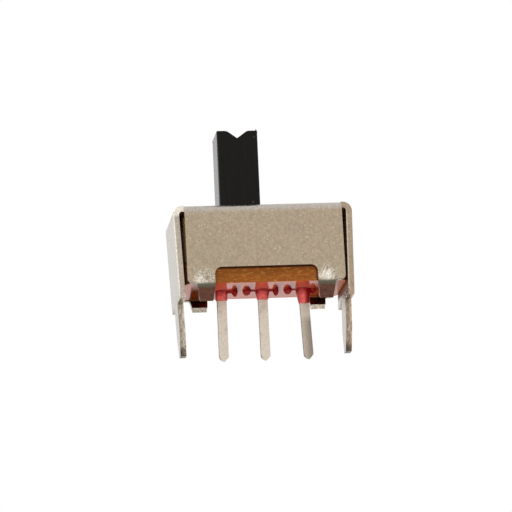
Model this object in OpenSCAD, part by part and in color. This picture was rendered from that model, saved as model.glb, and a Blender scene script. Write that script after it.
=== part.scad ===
// Miniature slide switch: one pole, two positions, straight pins for a circuit board.
// The frame's feet stand on the plane Z = 0 and the handle points up. X runs along the
// travel and Y across it. The handle is drawn at the left end of its travel.

/* [Frame] */
// Length over the two end plates
frame_len = 8.7; // [8.4:0.05:10]
// Width over the two long skirts
frame_wid = 4.3; // [4:0.1:5.2]
// Height of the frame's top above the feet's tips
frame_top = 4.67; // [4.5:0.01:5.4]
// Thickness of the sheet that the frame is folded from
sheet_t = 0.29; // [0.24:0.01:0.32]
// Outer radius of the bends round the top
bend_r = 0.45; // [0.4:0.01:0.6]
// Gap between the upper end of a skirt and the end plate beside it
corner_gap = 0.24; // [0.15:0.01:0.4]
// Setback of an end plate's edges from the outer faces of the skirts
plate_setback = 0.25; // [0.15:0.01:0.5]

/* [Skirts and feet] */
// Height of the skirts' lower edges beside the feet
skirt_low = 0.78; // [0.6:0.01:0.8]
// Radius of the skirts' lower corners
skirt_corner_r = 0.22; // [0.1:0.01:0.3]
// Length of the notch between the two feet of a skirt
notch_len = 4.98; // [4.2:0.01:5.2]
// Height of the notch's upper edge
notch_top = 1.55; // [1.3:0.01:1.8]
// Radius of the notch's upper corners
notch_r = 0.34; // [0.1:0.01:0.45]
// Width of a foot where it leaves the skirt
foot_root_w = 0.84; // [0.7:0.01:1]
// Width of a foot at its tip
foot_tip_w = 0.64; // [0.5:0.01:0.7]
// Radius of the fillet between a foot and the skirt's lower edge
foot_fillet_r = 0.12; // [0.05:0.01:0.15]
// Angle that the feet are bent through, inward under the board
foot_bend = 40; // [30:1:50]
// Inner radius of the feet's bends
foot_bend_r = 0.15; // [0.05:0.01:0.25]
// Height of the rear feet's tips above the front feet's
rear_foot_rise = 0.17; // [0:0.01:0.2]

/* [End plates and legs] */
// Inward lean of the end plates and their fixing legs, in degrees
plate_lean = 1.6; // [0:0.1:2]
// Height of the end plates' lower edges
plate_low = 0.1; // [0.05:0.01:0.4]
// Radius of the end plates' lower corners
plate_corner_r = 0.12; // [0.05:0.01:0.25]
// Width of a fixing leg
leg_w = 1.4; // [1:0.05:1.8]
// Width of a fixing leg at its tip
leg_tip_w = 0.55; // [0.4:0.05:0.9]
// Length of the tapered end of a fixing leg
leg_taper = 1.1; // [0.5:0.05:1.4]
// Depth of the fixing legs' tips below the feet
leg_depth = 2.38; // [1.5:0.01:3.5]
// Width of the relief slots on both sides of a fixing leg
relief_w = 0.12; // [0.08:0.01:0.2]
// Height of the relief slots
relief_h = 0.35; // [0.2:0.01:0.6]

/* [Base board] */
// Height of the board's underside, where the feet grip it
board_low = 0.81; // [0.8:0.01:0.95]
// Thickness of the board
board_t = 1; // [0.8:0.05:1.15]
// Gap between the board's long edges and the skirts
board_fit = 0.02; // [0.01:0.01:0.05]
// Gap between the board's ends and the end plates, at the board's underside
board_end_gap = 0.1; // [0.02:0.01:0.15]
// Radius of the board's corners
board_corner_r = 0.3; // [0.05:0.01:0.4]

/* [Terminals] */
// Distance between neighbouring terminals, which is also the slider's travel
pitch = 2; // [1.9:0.05:2.1]
// Thickness of the strip that the terminals are cut from
terminal_t = 0.3; // [0.2:0.01:0.4]
// Width of a terminal's tail
tail_w = 0.47; // [0.36:0.01:0.55]
// Depth of the tails' tips below the feet
tail_depth = 2.65; // [2:0.01:3.6]
// Sideways lean of each tail, in degrees
tail_lean = [-0.7, -0.2, 1.5]; // [-3:0.1:3]
// Rise of the sheared end of a tail towards its right side
tip_shear = 0.19; // [0.05:0.01:0.3]
// Radius of the rounded corner of a tail's end
tip_r = 0.28; // [0.1:0.01:0.3]
// Width of the shoulders that stand on the board
shoulder_w = 0.9; // [0.7:0.05:1.1]
// Height of the shoulders
shoulder_h = 0.35; // [0.2:0.01:0.45]
// Width of the contact blades above the shoulders
blade_w = 0.6; // [0.5:0.01:0.68]
// Height of the blades above the board
blade_h = 1.5; // [1.4:0.01:1.6]
// Chamfer of the blades' upper corners
blade_chamfer = 0.12; // [0.05:0.01:0.2]
// Gap between a terminal and its hole in the board
hole_fit = 0.02; // [0.01:0.01:0.04]

/* [Slider] */
// Length of the handle, along the travel
handle_len = 2; // [1.9:0.05:2.4]
// Width of the handle, across the travel
handle_wid = 2; // [1.3:0.01:2.2]
// Height of the handle above the frame's top
handle_rise = 3.97; // [2:0.01:6]
// Sideways lean of the handle, in degrees
handle_lean = 0.7; // [0:0.1:1]
// Radius of the handle's upright edges
handle_r = 0.08; // [0.04:0.01:0.2]
// Width of the V notch across the handle's end
v_wid = 1; // [0.7:0.01:1]
// Depth of the V notch
v_depth = 0.37; // [0.2:0.01:0.5]
// Radius of the shoulders at the mouth of the V notch
v_shoulder_r = 0.28; // [0.1:0.01:0.3]
// Gap between the handle and its slot in the frame, all round
slot_gap = 0.1; // [0.06:0.01:0.15]
// Radius of the slot's corners
slot_r = 0.12; // [0.06:0.01:0.15]
// Running gap between the slider's body and the frame or the board
slide_gap = 0.1; // [0.06:0.01:0.14]
// Gap between the slider's body and an end plate at the end of the travel
end_gap = 0.12; // [0.05:0.01:0.25]
// Radius of the upright edges of the slider's body
body_r = 0.2; // [0.1:0.01:0.3]
// Gap on each side of a blade in the channel under the slider
channel_gap = 0.22; // [0.15:0.01:0.28]
// Gap between the blades' upper ends and the channel's roof
roof_gap = 0.15; // [0.1:0.01:0.2]

/* [Moving contact] */
// Thickness of the spring strip
contact_t = 0.12; // [0.08:0.01:0.14]
// Width of the folded contact over its web
contact_wid = 1.3; // [1.2:0.01:1.5]
// Width of a finger, along the travel
finger_w = 0.9; // [0.7:0.01:1]
// Gap between a finger and the blade that it wipes
finger_gap = 0.03; // [0.02:0.01:0.05]
// Height of the fingers' ends above the terminals' shoulders
finger_low = 0.1; // [0.06:0.01:0.2]
// Height of the flare below the line where the fingers pinch a blade
flare_h = 0.35; // [0.25:0.01:0.4]
// Outward spread of the flare
flare_out = 0.18; // [0.1:0.01:0.25]
// Gap between the contact and its pocket in the slider
pocket_fit = 0.02; // [0.01:0.01:0.04]

/* [Sealing lacquer] */
// Radius of a collar below its flared rim
collar_r = 0.32; // [0.31:0.01:0.4]
// Radius of the flare that each collar spreads onto the board with
flare_r = 0.1; // [0.05:0.01:0.15]
// Thickness of the lacquer over a tail's edges at the lower end of a collar
film_t = 0.02; // [0.01:0.01:0.03]
// Length of the collars down the left and middle tails
collar_drop = 0.5; // [0.3:0.01:0.9]
// Length of the collar down the right tail
right_collar_drop = 0.74; // [0.3:0.01:0.9]
// Radius of the thin run of lacquer between the collars
run_r = 0.05; // [0.03:0.01:0.08]
// Distance from a tail to the small drop on its right
small_drop_at = 0.66; // [0.5:0.01:0.8]
// Radius of the small drops where they meet the board
small_drop_r = 0.13; // [0.08:0.01:0.2]
// Distance from a tail to the large drop on its right
large_drop_at = 1.24; // [1:0.01:1.4]
// Radius of the large drops where they meet the board
large_drop_r = 0.18; // [0.08:0.01:0.2]
// Length of the run past the middle of the right tail, to the last drop
run_end = 0.5; // [0.45:0.01:0.6]
// Radius of the last drop where it meets the board
last_drop_r = 0.15; // [0.08:0.01:0.2]
// Height of a drop below the board
drop_h = 0.24; // [0.15:0.01:0.3]

/* [Hidden] */
$fn = 48;
over = 1; // how far cutting bodies run past what they cut

inner_len = frame_len - 2 * sheet_t;
inner_wid = frame_wid - 2 * sheet_t;
inner_top = frame_top - sheet_t;
bend_line = frame_top - bend_r; // height at which the bends end
skirt_len = inner_len - 2 * corner_gap;
plate_wid = frame_wid - 2 * plate_setback;
leg_root = plate_low + relief_h;
board_len = 2 * (plate_in(board_low) - board_end_gap);

board_top = board_low + board_t;
shoulder_top = board_top + shoulder_h;
blade_top = board_top + blade_h;
channel_top = blade_top + roof_gap;
pocket_top = channel_top + contact_t + pocket_fit;
channel_wid = terminal_t + 2 * channel_gap;

travel = pitch;
slider_x = -travel / 2;
slot_len = handle_len + travel + 2 * slot_gap;
slot_wid = handle_wid + 2 * slot_gap;
body_wid = inner_wid - 2 * slide_gap;
body_low = board_top + slide_gap;
body_len = 2 * (plate_in(body_low) - end_gap) - travel;
body_top = inner_top - slide_gap;
body_chamfer = bend_r - sheet_t;
handle_top = frame_top + handle_rise;

contact_len = pitch + finger_w;
finger_end = shoulder_top + finger_low;
pinch_z = finger_end + flare_h;
pinch_y = terminal_t / 2 + finger_gap + contact_t / 2;
web_y = contact_wid / 2 - contact_t / 2;
web_z = channel_top + contact_t / 2;

// Distance from the middle to an end plate's inner face, at a height below the bends
function plate_in(z) = inner_len / 2 - (bend_line - z) * tan(plate_lean);

// Carries a profile drawn in the Y-Z plane along X, from the middle outwards
module along_x(length) {
    rotate([90, 0, 90]) linear_extrude(length, center = true) children();
}

// Carries an elevation drawn in the X-Z plane along Y, from the middle outwards
module along_y(length) {
    rotate([90, 0, 0]) linear_extrude(length, center = true) children();
}

// Rectangle centred on the upright axis, with its upper corners rounded and, given a
// lean, with sides that draw in below them
module crowned(width, low, high, r, lean = 0) {
    inset = (high - r - low) * tan(lean);
    polygon([[-width / 2 + inset, low], [width / 2 - inset, low],
        [width / 2, high - r], [-width / 2, high - r]]);
    translate([-width / 2 + r, high - 2 * r]) square([width - 2 * r, 2 * r]);
    for (side = [-1, 1])
        translate([side * (width / 2 - r), high - r]) circle(r = r);
}

// Rectangle centred on the upright axis, with its lower corners rounded
module skirted(width, low, high, r) {
    translate([0, low + high]) mirror([0, 1]) crowned(width, low, high, r);
}

// Rectangle centred on the origin, with all its corners rounded
module rounded(length, width, r) {
    square([length - 2 * r, width], center = true);
    square([length, width - 2 * r], center = true);
    for (x = [-1, 1], y = [-1, 1])
        translate([x * (length / 2 - r), y * (width / 2 - r)]) circle(r = r);
}

// Strip of even thickness, bent along the points of a path
module bent_strip(path, thickness) {
    for (i = [0 : len(path) - 2]) {
        run = path[i + 1] - path[i];
        translate(path[i])
            rotate(atan2(run.y, run.x))
                translate([0, -thickness / 2]) square([norm(run), thickness]);
    }
    for (point = path)
        translate(point) circle(d = thickness);
}

// Cross-section of the sheet folded down at both sides of the top
module folded_sheet(width, low, lean = 0) {
    difference() {
        crowned(width, low, frame_top, bend_r, lean);
        crowned(width - 2 * sheet_t, low - over, inner_top, bend_r - sheet_t, lean);
    }
}

// Cross-section of a foot, bent in under the board's lower edge
module foot_section(tip) {
    outer = foot_bend_r + sheet_t;
    straight = (board_low - tip - outer * sin(foot_bend)) / cos(foot_bend);
    translate([inner_wid / 2 - foot_bend_r, board_low]) {
        intersection() {
            difference() {
                circle(r = outer);
                circle(r = foot_bend_r);
            }
            polygon([[0, 0], [2 * outer, 0], [2 * outer, -2 * outer * tan(foot_bend)]]);
        }
        rotate(-foot_bend)
            translate([foot_bend_r, -straight]) square([sheet_t, straight]);
    }
}

// Front view of a foot, tapered, with a fillet up into the skirt's lower edge
module foot_outline() {
    root = foot_root_w / 2;
    taper_top = skirt_low - foot_fillet_r;
    slope = (foot_root_w - foot_tip_w) / 2 / taper_top;
    end = foot_tip_w / 2 - slope * sheet_t;
    translate([notch_len / 2 + root, 0]) {
        polygon([[-root, skirt_low + sheet_t], [root, skirt_low + sheet_t],
            [root, taper_top], [end, -sheet_t], [-end, -sheet_t], [-root, taper_top]]);
        translate([root, skirt_low]) difference() {
            translate([-foot_fillet_r, -foot_fillet_r]) square(2 * foot_fillet_r);
            translate([foot_fillet_r, -foot_fillet_r]) circle(r = foot_fillet_r);
        }
    }
}

// Front view of a long skirt with its notch and two feet
module skirt_outline() {
    difference() {
        skirted(skirt_len, skirt_low, frame_top + over, skirt_corner_r);
        crowned(notch_len, skirt_low - over, notch_top, notch_r);
    }
    foot_outline();
    mirror([1, 0]) foot_outline();
}

// Top of the frame with the two long skirts and their feet
module top_and_skirts() {
    intersection() {
        along_x(skirt_len) {
            folded_sheet(frame_wid, board_low);
            foot_section(rear_foot_rise);
            mirror([1, 0]) foot_section(0);
        }
        along_y(frame_wid + over) skirt_outline();
    }
}

// Side view of an end plate with its tapered fixing leg, relieved on both sides
module plate_outline() {
    half = leg_w / 2;
    tip = leg_tip_w / 2;
    difference() {
        skirted(plate_wid, plate_low, frame_top + over, plate_corner_r);
        translate([-half - relief_w, plate_low - over])
            square([leg_w + 2 * relief_w, relief_h + over]);
    }
    polygon([[-tip, -leg_depth], [tip, -leg_depth], [half, leg_taper - leg_depth],
        [half, leg_root + relief_h], [-half, leg_root + relief_h], [-half, leg_taper - leg_depth]]);
}

// The two end plates with their legs, which lean inward below the top's bends
module end_plates() {
    difference() {
        intersection() {
            along_y(frame_wid) folded_sheet(frame_len, -leg_depth - over, plate_lean);
            along_x(frame_len + over) plate_outline();
        }
        along_y(frame_wid + over)
            translate([-skirt_len / 2, -over]) square([skirt_len, frame_top + 2 * over]);
    }
}

// Flat of the top, which runs on into the bends on all four sides
module top_flat() {
    translate([0, 0, inner_top]) linear_extrude(sheet_t)
        square([frame_len - 2 * bend_r, frame_wid - 2 * bend_r], center = true);
}

// Frame: one stamped sheet, folded down on four sides and clinched under the board
module frame() {
    color("#b9ae9a") difference() {
        union() {
            top_flat();
            top_and_skirts();
            end_plates();
        }
        translate([0, 0, inner_top - sheet_t])
            linear_extrude(3 * sheet_t) rounded(slot_len, slot_wid, slot_r);
    }
}

// Base: a plate of paper laminate with a hole for each terminal
module base_board() {
    color("#92521f") translate([0, 0, board_low]) linear_extrude(board_t) difference() {
        rounded(board_len, inner_wid - 2 * board_fit, board_corner_r);
        for (i = [0 : 2])
            translate([(i - 1) * pitch, 0])
                square([tail_w + 2 * hole_fit, terminal_t + 2 * hole_fit], center = true);
    }
}

// Tail of a terminal, hanging from its own root, with a sheared and rounded end
module tail_outline() {
    length = board_low + tail_depth;
    difference() {
        translate([-tail_w / 2, -length]) square([tail_w, length]);
        translate([-tail_w / 2, -length]) difference() {
            translate([-tip_r, -tip_r]) square(2 * tip_r);
            translate([tip_r, tip_r]) circle(r = tip_r);
        }
        polygon([[-tail_w / 2 + tip_r, -length], [tail_w, -length - over],
            [tail_w / 2, -length + tip_shear]]);
    }
}

// Terminal: blade, shoulders on the board, neck through it and tail below
module terminal(i) {
    color("#cfc6b8") translate([(i - 1) * pitch, 0, 0]) along_y(terminal_t) {
        half = blade_w / 2;
        polygon([[-half, board_top], [half, board_top], [half, blade_top - blade_chamfer],
            [half - blade_chamfer, blade_top], [-half + blade_chamfer, blade_top],
            [-half, blade_top - blade_chamfer]]);
        translate([-shoulder_w / 2, board_top]) square([shoulder_w, shoulder_h]);
        translate([-tail_w / 2, board_low]) square([tail_w, board_t]);
        translate([0, board_low]) rotate(tail_lean[i]) tail_outline();
    }
}

// Collar of lacquer that has crept down a tail, with a flared rim on the board
module collar(drop) {
    rotate_extrude() {
        tip = norm([tail_w, terminal_t]) / 2 + film_t;
        polygon([[0, flare_r], [collar_r + flare_r, flare_r], [collar_r + flare_r, 0],
            [collar_r, -flare_r], [tip, -drop], [0, -drop]]);
        translate([collar_r, -flare_r]) difference() {
            square(flare_r);
            translate([flare_r, 0]) circle(r = flare_r);
        }
    }
}

// Drop of lacquer hanging from the board
module drop(radius) {
    tip = radius * 0.35;
    translate([0, 0, tip - drop_h]) {
        cylinder(h = drop_h - tip, r1 = tip, r2 = radius);
        sphere(r = tip);
    }
}

// Sealing lacquer: three collars round the tails, joined by a thin dripping run
module sealing_lacquer() {
    color("#b3202c") translate([-pitch, 0, board_low]) difference() {
        union() {
            for (i = [0 : 2])
                translate([i * pitch, 0, 0])
                    rotate([0, -tail_lean[i], 0])
                        collar(i < 2 ? collar_drop : right_collar_drop);
            rotate([0, 90, 0]) cylinder(h = 2 * pitch + run_end, r = run_r);
            for (i = [0, 1]) {
                translate([i * pitch + small_drop_at, 0, 0]) drop(small_drop_r);
                translate([i * pitch + large_drop_at, 0, 0]) drop(large_drop_r);
            }
            translate([2 * pitch + run_end, 0, 0]) drop(last_drop_r);
        }
        translate([0, 0, over / 2]) cube([6 * pitch, pitch, over], center = true);
        for (i = [0 : 2])
            translate([i * pitch, 0, 0]) along_y(terminal_t) rotate(tail_lean[i]) tail_outline();
    }
}

// Front view of the handle, with a V notch whose mouth has rounded shoulders
module handle_outline() {
    half = v_wid / 2;
    slope = atan2(v_depth, half);
    setback = v_shoulder_r * tan(slope / 2);
    difference() {
        translate([-handle_len / 2, body_top - over / 4])
            square([handle_len, handle_top - body_top + over / 4]);
        polygon([[-half - setback, handle_top + over], [half + setback, handle_top + over],
            [half + setback, handle_top],
            [half - setback * cos(slope), handle_top - setback * sin(slope)],
            [0, handle_top - v_depth],
            [-half + setback * cos(slope), handle_top - setback * sin(slope)],
            [-half - setback, handle_top]]);
    }
    for (side = [-1, 1])
        translate([side * (half + setback), handle_top - v_shoulder_r]) circle(r = v_shoulder_r);
}

// Turns a part sideways about the middle of the frame's slot
module leaning(angle) {
    translate([0, 0, frame_top]) rotate([0, angle, 0]) translate([0, 0, -frame_top]) children();
}

// Cross-section of the slider's body, chamfered to clear the frame's inner bends
module body_section() {
    half = body_wid / 2;
    polygon([[-half, body_low], [half, body_low], [half, body_top - body_chamfer],
        [half - body_chamfer, body_top], [-half + body_chamfer, body_top],
        [-half, body_top - body_chamfer]]);
}

// Slider: handle and body in one moulding, with a channel and a pocket underneath
module slider() {
    color("#201e1a") translate([slider_x, 0, 0]) difference() {
        union() {
            leaning(handle_lean) intersection() {
                along_y(handle_wid) handle_outline();
                translate([0, 0, body_low])
                    linear_extrude(handle_top) rounded(handle_len, handle_wid, handle_r);
            }
            intersection() {
                along_x(body_len) body_section();
                translate([0, 0, body_low - over])
                    linear_extrude(frame_top) rounded(body_len, body_wid, body_r);
            }
        }
        along_x(frame_len)
            crowned(channel_wid, body_low - over, channel_top, channel_gap);
        translate([0, 0, body_low - over])
            linear_extrude(pocket_top - body_low + over)
                square([contact_len + 2 * pocket_fit, contact_wid + 2 * pocket_fit], center = true);
    }
}

// Moving contact: a folded spring strip whose four fingers pinch two blades
module moving_contact() {
    color("#cdb68c") translate([slider_x, 0, 0]) intersection() {
        along_x(contact_len)
            bent_strip([[-pinch_y - flare_out, finger_end + contact_t / 2], [-pinch_y, pinch_z],
                [-web_y, web_z], [web_y, web_z],
                [pinch_y, pinch_z], [pinch_y + flare_out, finger_end + contact_t / 2]], contact_t);
        along_y(contact_wid) {
            for (side = [-1, 1])
                translate([side * pitch / 2, 0])
                    skirted(finger_w, finger_end, channel_top + over, finger_w / 4);
            translate([-contact_len / 2, channel_top - contact_t])
                square([contact_len, 2 * contact_t + over]);
        }
    }
}

frame();
base_board();
terminal(0);  // terminal_left
terminal(1);  // terminal_middle
terminal(2);  // terminal_right
sealing_lacquer();
slider();
moving_contact();
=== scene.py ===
"""Dresses a packed miniature slide switch: its frame, board, pins, sealing lacquer and handle.

Pieces are modelled in millimetres and brought to metres by finish_piece.
"""

import math
from contextlib import contextmanager

import bmesh
import bpy
from mathutils import Matrix, Vector


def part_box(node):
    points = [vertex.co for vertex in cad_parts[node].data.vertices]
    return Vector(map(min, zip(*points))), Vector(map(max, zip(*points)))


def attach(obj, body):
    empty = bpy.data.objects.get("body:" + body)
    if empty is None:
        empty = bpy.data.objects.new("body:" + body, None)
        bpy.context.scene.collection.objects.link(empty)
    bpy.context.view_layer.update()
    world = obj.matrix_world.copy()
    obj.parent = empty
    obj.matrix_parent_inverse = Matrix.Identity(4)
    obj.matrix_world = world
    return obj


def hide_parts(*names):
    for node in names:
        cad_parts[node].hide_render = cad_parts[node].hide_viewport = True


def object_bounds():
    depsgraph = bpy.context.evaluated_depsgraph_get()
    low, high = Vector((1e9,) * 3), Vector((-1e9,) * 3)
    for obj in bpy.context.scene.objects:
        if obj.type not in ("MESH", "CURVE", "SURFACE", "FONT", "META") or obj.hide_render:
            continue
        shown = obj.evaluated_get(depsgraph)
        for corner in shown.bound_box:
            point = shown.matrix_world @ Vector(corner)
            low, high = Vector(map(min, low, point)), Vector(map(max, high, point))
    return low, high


bl_info = {
    "name": "Slide Switch",
    "version": (1, 0, 0),
    "blender": (4, 5, 0),
    "location": "3D View > Sidebar > Slide Switch",
    "description": "Dresses a miniature slide switch around its packed frame",
    "category": "Add Mesh",
}

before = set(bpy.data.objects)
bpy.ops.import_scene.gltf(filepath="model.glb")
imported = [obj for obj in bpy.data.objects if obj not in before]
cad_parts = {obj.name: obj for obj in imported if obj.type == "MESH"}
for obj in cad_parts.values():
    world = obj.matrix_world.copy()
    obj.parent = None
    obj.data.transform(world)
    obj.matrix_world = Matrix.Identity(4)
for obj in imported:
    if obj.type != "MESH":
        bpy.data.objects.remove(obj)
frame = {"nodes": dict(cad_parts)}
cad_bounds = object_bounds()

PER_METRE = 1000  # millimetres in a metre
PIN_NODES = ("terminal_left", "terminal_middle", "terminal_right")


def linear(hex_colour):
    """Linear red, green and blue of an sRGB hex colour."""
    parts = [int(hex_colour[i : i + 2], 16) / 255 for i in (1, 3, 5)]
    return [p / 12.92 if p <= 0.04045 else ((p + 0.055) / 1.055) ** 2.4 for p in parts]


def mm(length):
    """A length in metres, or a sequence of them, in millimetres."""
    try:
        return [part * PER_METRE for part in length]
    except TypeError:
        return length * PER_METRE


def box_mm(node):
    """Lowest and highest corner of a CAD node, in millimetres."""
    return [Vector(mm(corner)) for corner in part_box(node)]


# ---------------------------------------------------------------- settings


class FrameSettings(bpy.types.PropertyGroup):
    """Sizes and colours of the folded frame."""

    edge_round: bpy.props.FloatProperty(
        name="Edge rounding",
        description="Radius that stamping and plating leave on the sheet's edges",
        default=0.00006,
        min=0.00001,
        max=0.0001,
        subtype="DISTANCE",
    )
    plate_lean: bpy.props.FloatProperty(
        name="End plate lean",
        description="Inward lean of the end plates and their legs",
        default=math.radians(1.6),
        unit="ROTATION",
    )
    plate_middle: bpy.props.FloatProperty(
        name="End plate middle",
        description="Distance from the centre to the middle of an end plate's wall, at the feet",
        default=0.004087,
        min=0.0035,
        max=0.0045,
        subtype="DISTANCE",
    )
    plate_setback: bpy.props.FloatProperty(
        name="End plate setback",
        description="Setback of an end plate's edges from the outer faces of the skirts",
        default=0.00025,
        min=0.0001,
        max=0.0005,
        subtype="DISTANCE",
    )
    mark_place: bpy.props.FloatVectorProperty(
        name="Clinch mark",
        description="Middle of the area that the clinching tool marked, at each corner",
        default=(0.003, 0.00215, 0.00102),
        size=3,
        subtype="TRANSLATION",
    )
    mark_radius: bpy.props.FloatProperty(
        name="Clinch mark radius",
        description="Distance from its middle at which the tool mark ends",
        default=0.00068,
        min=0.0003,
        max=0.0012,
        subtype="DISTANCE",
    )
    # Painted highlight: the middles of the painted highlight spots in the left and right corners'
    # marks.
    left_spot: bpy.props.FloatVectorProperty(
        name="Left burnished spot",
        description="Middle of the burnished spot in the left corners' marks",
        default=(-0.0034, 0.00215, 0.0008),
        size=3,
        subtype="TRANSLATION",
    )
    right_spot: bpy.props.FloatVectorProperty(
        name="Right burnished spot",
        description="Middle of the burnished spot in the right corners' marks",
        default=(0.00282, 0.00215, 0.0009),
        size=3,
        subtype="TRANSLATION",
    )
    mark_depth: bpy.props.FloatProperty(
        name="Clinch mark depth",
        description="How far the tool pressed the sheet's outer face in",
        default=0.00005,
        min=0,
        max=0.0001,
        subtype="DISTANCE",
    )
    mark_grain: bpy.props.FloatProperty(
        name="Clinch mark grain",
        description="Height of the small dents within the tool mark",
        default=0.000008,
        min=0,
        max=0.00005,
        subtype="DISTANCE",
    )
    plate_colour: bpy.props.FloatVectorProperty(
        name="Plating",
        description="Colour of the satin nickel plating",
        default=linear("#b1a089"),
        size=3,
        min=0,
        max=1,
        subtype="COLOR",
    )
    # Painted reflection: a lighter colour painted on the bends and the end plates for the light
    # they mirror.
    painted_reflection_colour: bpy.props.FloatVectorProperty(
        name="Polished bends",
        description="Colour of the plating round the top, which the die polished",
        default=linear("#bdb5ac"),
        size=3,
        min=0,
        max=1,
        subtype="COLOR",
    )
    # The edges are lighter at the left end plate and browner at the right.
    left_edge_colour: bpy.props.FloatVectorProperty(
        name="Cut edges",
        description="Colour of the cleanly sheared edges of the left end plate",
        default=linear("#b9ad9d"),
        size=3,
        min=0,
        max=1,
        subtype="COLOR",
    )
    right_edge_colour: bpy.props.FloatVectorProperty(
        name="Torn edges",
        description="Colour of the torn edges of the right end plate",
        default=linear("#ae9a84"),
        size=3,
        min=0,
        max=1,
        subtype="COLOR",
    )
    # Painted shade: the colour of the dark specks in the tool marks and of the dark band above each
    # foot.
    speck_and_band_shade_colour: bpy.props.FloatVectorProperty(
        name="Scoring",
        description="Colour at the bottom of the scratches in the tool marks",
        default=linear("#625f50"),
        size=3,
        min=0,
        max=1,
        subtype="COLOR",
    )
    # Painted highlight: the colour of the painted glints, of the light specks and spots in the tool
    # marks, and of the bright edges.
    highlight_colour: bpy.props.FloatVectorProperty(
        name="Burnished plating",
        description="Colour where the plating is rubbed bright",
        default=linear("#fbf4e6"),
        size=3,
        min=0,
        max=1,
        subtype="COLOR",
    )
    # Painted shade: the brown painted inside the frame.
    inside_shade_colour: bpy.props.FloatVectorProperty(
        name="Inside",
        description="Colour of the oiled plating inside the frame",
        default=linear("#a87c4e"),
        size=3,
        min=0,
        max=1,
        subtype="COLOR",
    )
    # Painted shade and painted reflection: the dark brown on the notches' upper edges.
    notch_shade_colour: bpy.props.FloatVectorProperty(
        name="Notch edges",
        description="Colour of the dusty upper edges of the skirts' notches",
        default=linear("#6e3e20"),
        size=3,
        min=0,
        max=1,
        subtype="COLOR",
    )
    # The bare steel at the legs' tips, and the painted shadow at the slots by their roots.
    tip_and_shadow_colour: bpy.props.FloatVectorProperty(
        name="Leg tips",
        description="Colour of the bare steel at the legs' tips, and of grime at their roots",
        default=linear("#54443a"),
        size=3,
        min=0,
        max=1,
        subtype="COLOR",
    )
    # Painted shade: the dark colour painted on the feet.
    foot_shade_colour: bpy.props.FloatVectorProperty(
        name="Dull plating",
        description="Colour of the thin, dull plating on the feet",
        default=linear("#644438"),
        size=3,
        min=0,
        max=1,
        subtype="COLOR",
    )


class BoardSettings(bpy.types.PropertyGroup):
    """Sizes and colours of the base board."""

    corner_radius: bpy.props.FloatProperty(
        name="Corner radius",
        description="Radius of the board's four corners",
        default=0.0003,
        min=0.00005,
        max=0.0004,
        subtype="DISTANCE",
    )
    edge_round: bpy.props.FloatProperty(
        name="Edge rounding",
        description="Radius of the punched edges",
        default=0.000025,
        min=0.00001,
        max=0.00006,
        subtype="DISTANCE",
    )
    end_growth: bpy.props.FloatProperty(
        name="End growth",
        description="How much further the real board reaches at each end, towards the end plates",
        default=0.00006,
        min=0,
        max=0.00007,
        subtype="DISTANCE",
    )
    hole_fit: bpy.props.FloatProperty(
        name="Hole fit",
        description="Gap between a pin and its hole",
        default=0.00002,
        min=0.00001,
        max=0.00004,
        subtype="DISTANCE",
    )
    laminate_colour: bpy.props.FloatVectorProperty(
        name="Laminate",
        description="Colour of the phenolic resin and paper",
        default=linear("#8a4c14"),
        size=3,
        min=0,
        max=1,
        subtype="COLOR",
    )
    face_colour: bpy.props.FloatVectorProperty(
        name="Pressed face",
        description="Colour of the smooth, redder faces that the press plates left",
        default=linear("#d65c14"),
        size=3,
        min=0,
        max=1,
        subtype="COLOR",
    )
    fibre_colour: bpy.props.FloatVectorProperty(
        name="Paper fibres",
        description="Colour of the torn paper fibres in the punched edges",
        default=linear("#d29c40"),
        size=3,
        min=0,
        max=1,
        subtype="COLOR",
    )
    # A lacquer film together with a painted reflection of the collars.
    thin_film_and_reflection_colour: bpy.props.FloatVectorProperty(
        name="Thin film",
        description="Colour of the underside under a thin film of lacquer, in front of each pin",
        default=linear("#e5705c"),
        size=3,
        min=0,
        max=1,
        subtype="COLOR",
    )
    # A lacquer film together with a painted reflection of the drops.
    thick_film_and_reflection_colour: bpy.props.FloatVectorProperty(
        name="Thick film",
        description="Colour of the underside under a thicker film, in front of the drops",
        default=linear("#7d1512"),
        size=3,
        min=0,
        max=1,
        subtype="COLOR",
    )
    # Painted shade: the dark colour painted on the board's edges where the frame covers them.
    covered_shade_colour: bpy.props.FloatVectorProperty(
        name="Covered edges",
        description="Colour of the board's edges where the frame covers them",
        default=linear("#4a2410"),
        size=3,
        min=0,
        max=1,
        subtype="COLOR",
    )
    # Painted shade: the dark colour painted on the underside beside the feet.
    beside_feet_shade_colour: bpy.props.FloatVectorProperty(
        name="Browned laminate",
        description="Colour of the underside beside the feet",
        default=linear("#5c2c1a"),
        size=3,
        min=0,
        max=1,
        subtype="COLOR",
    )


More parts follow.
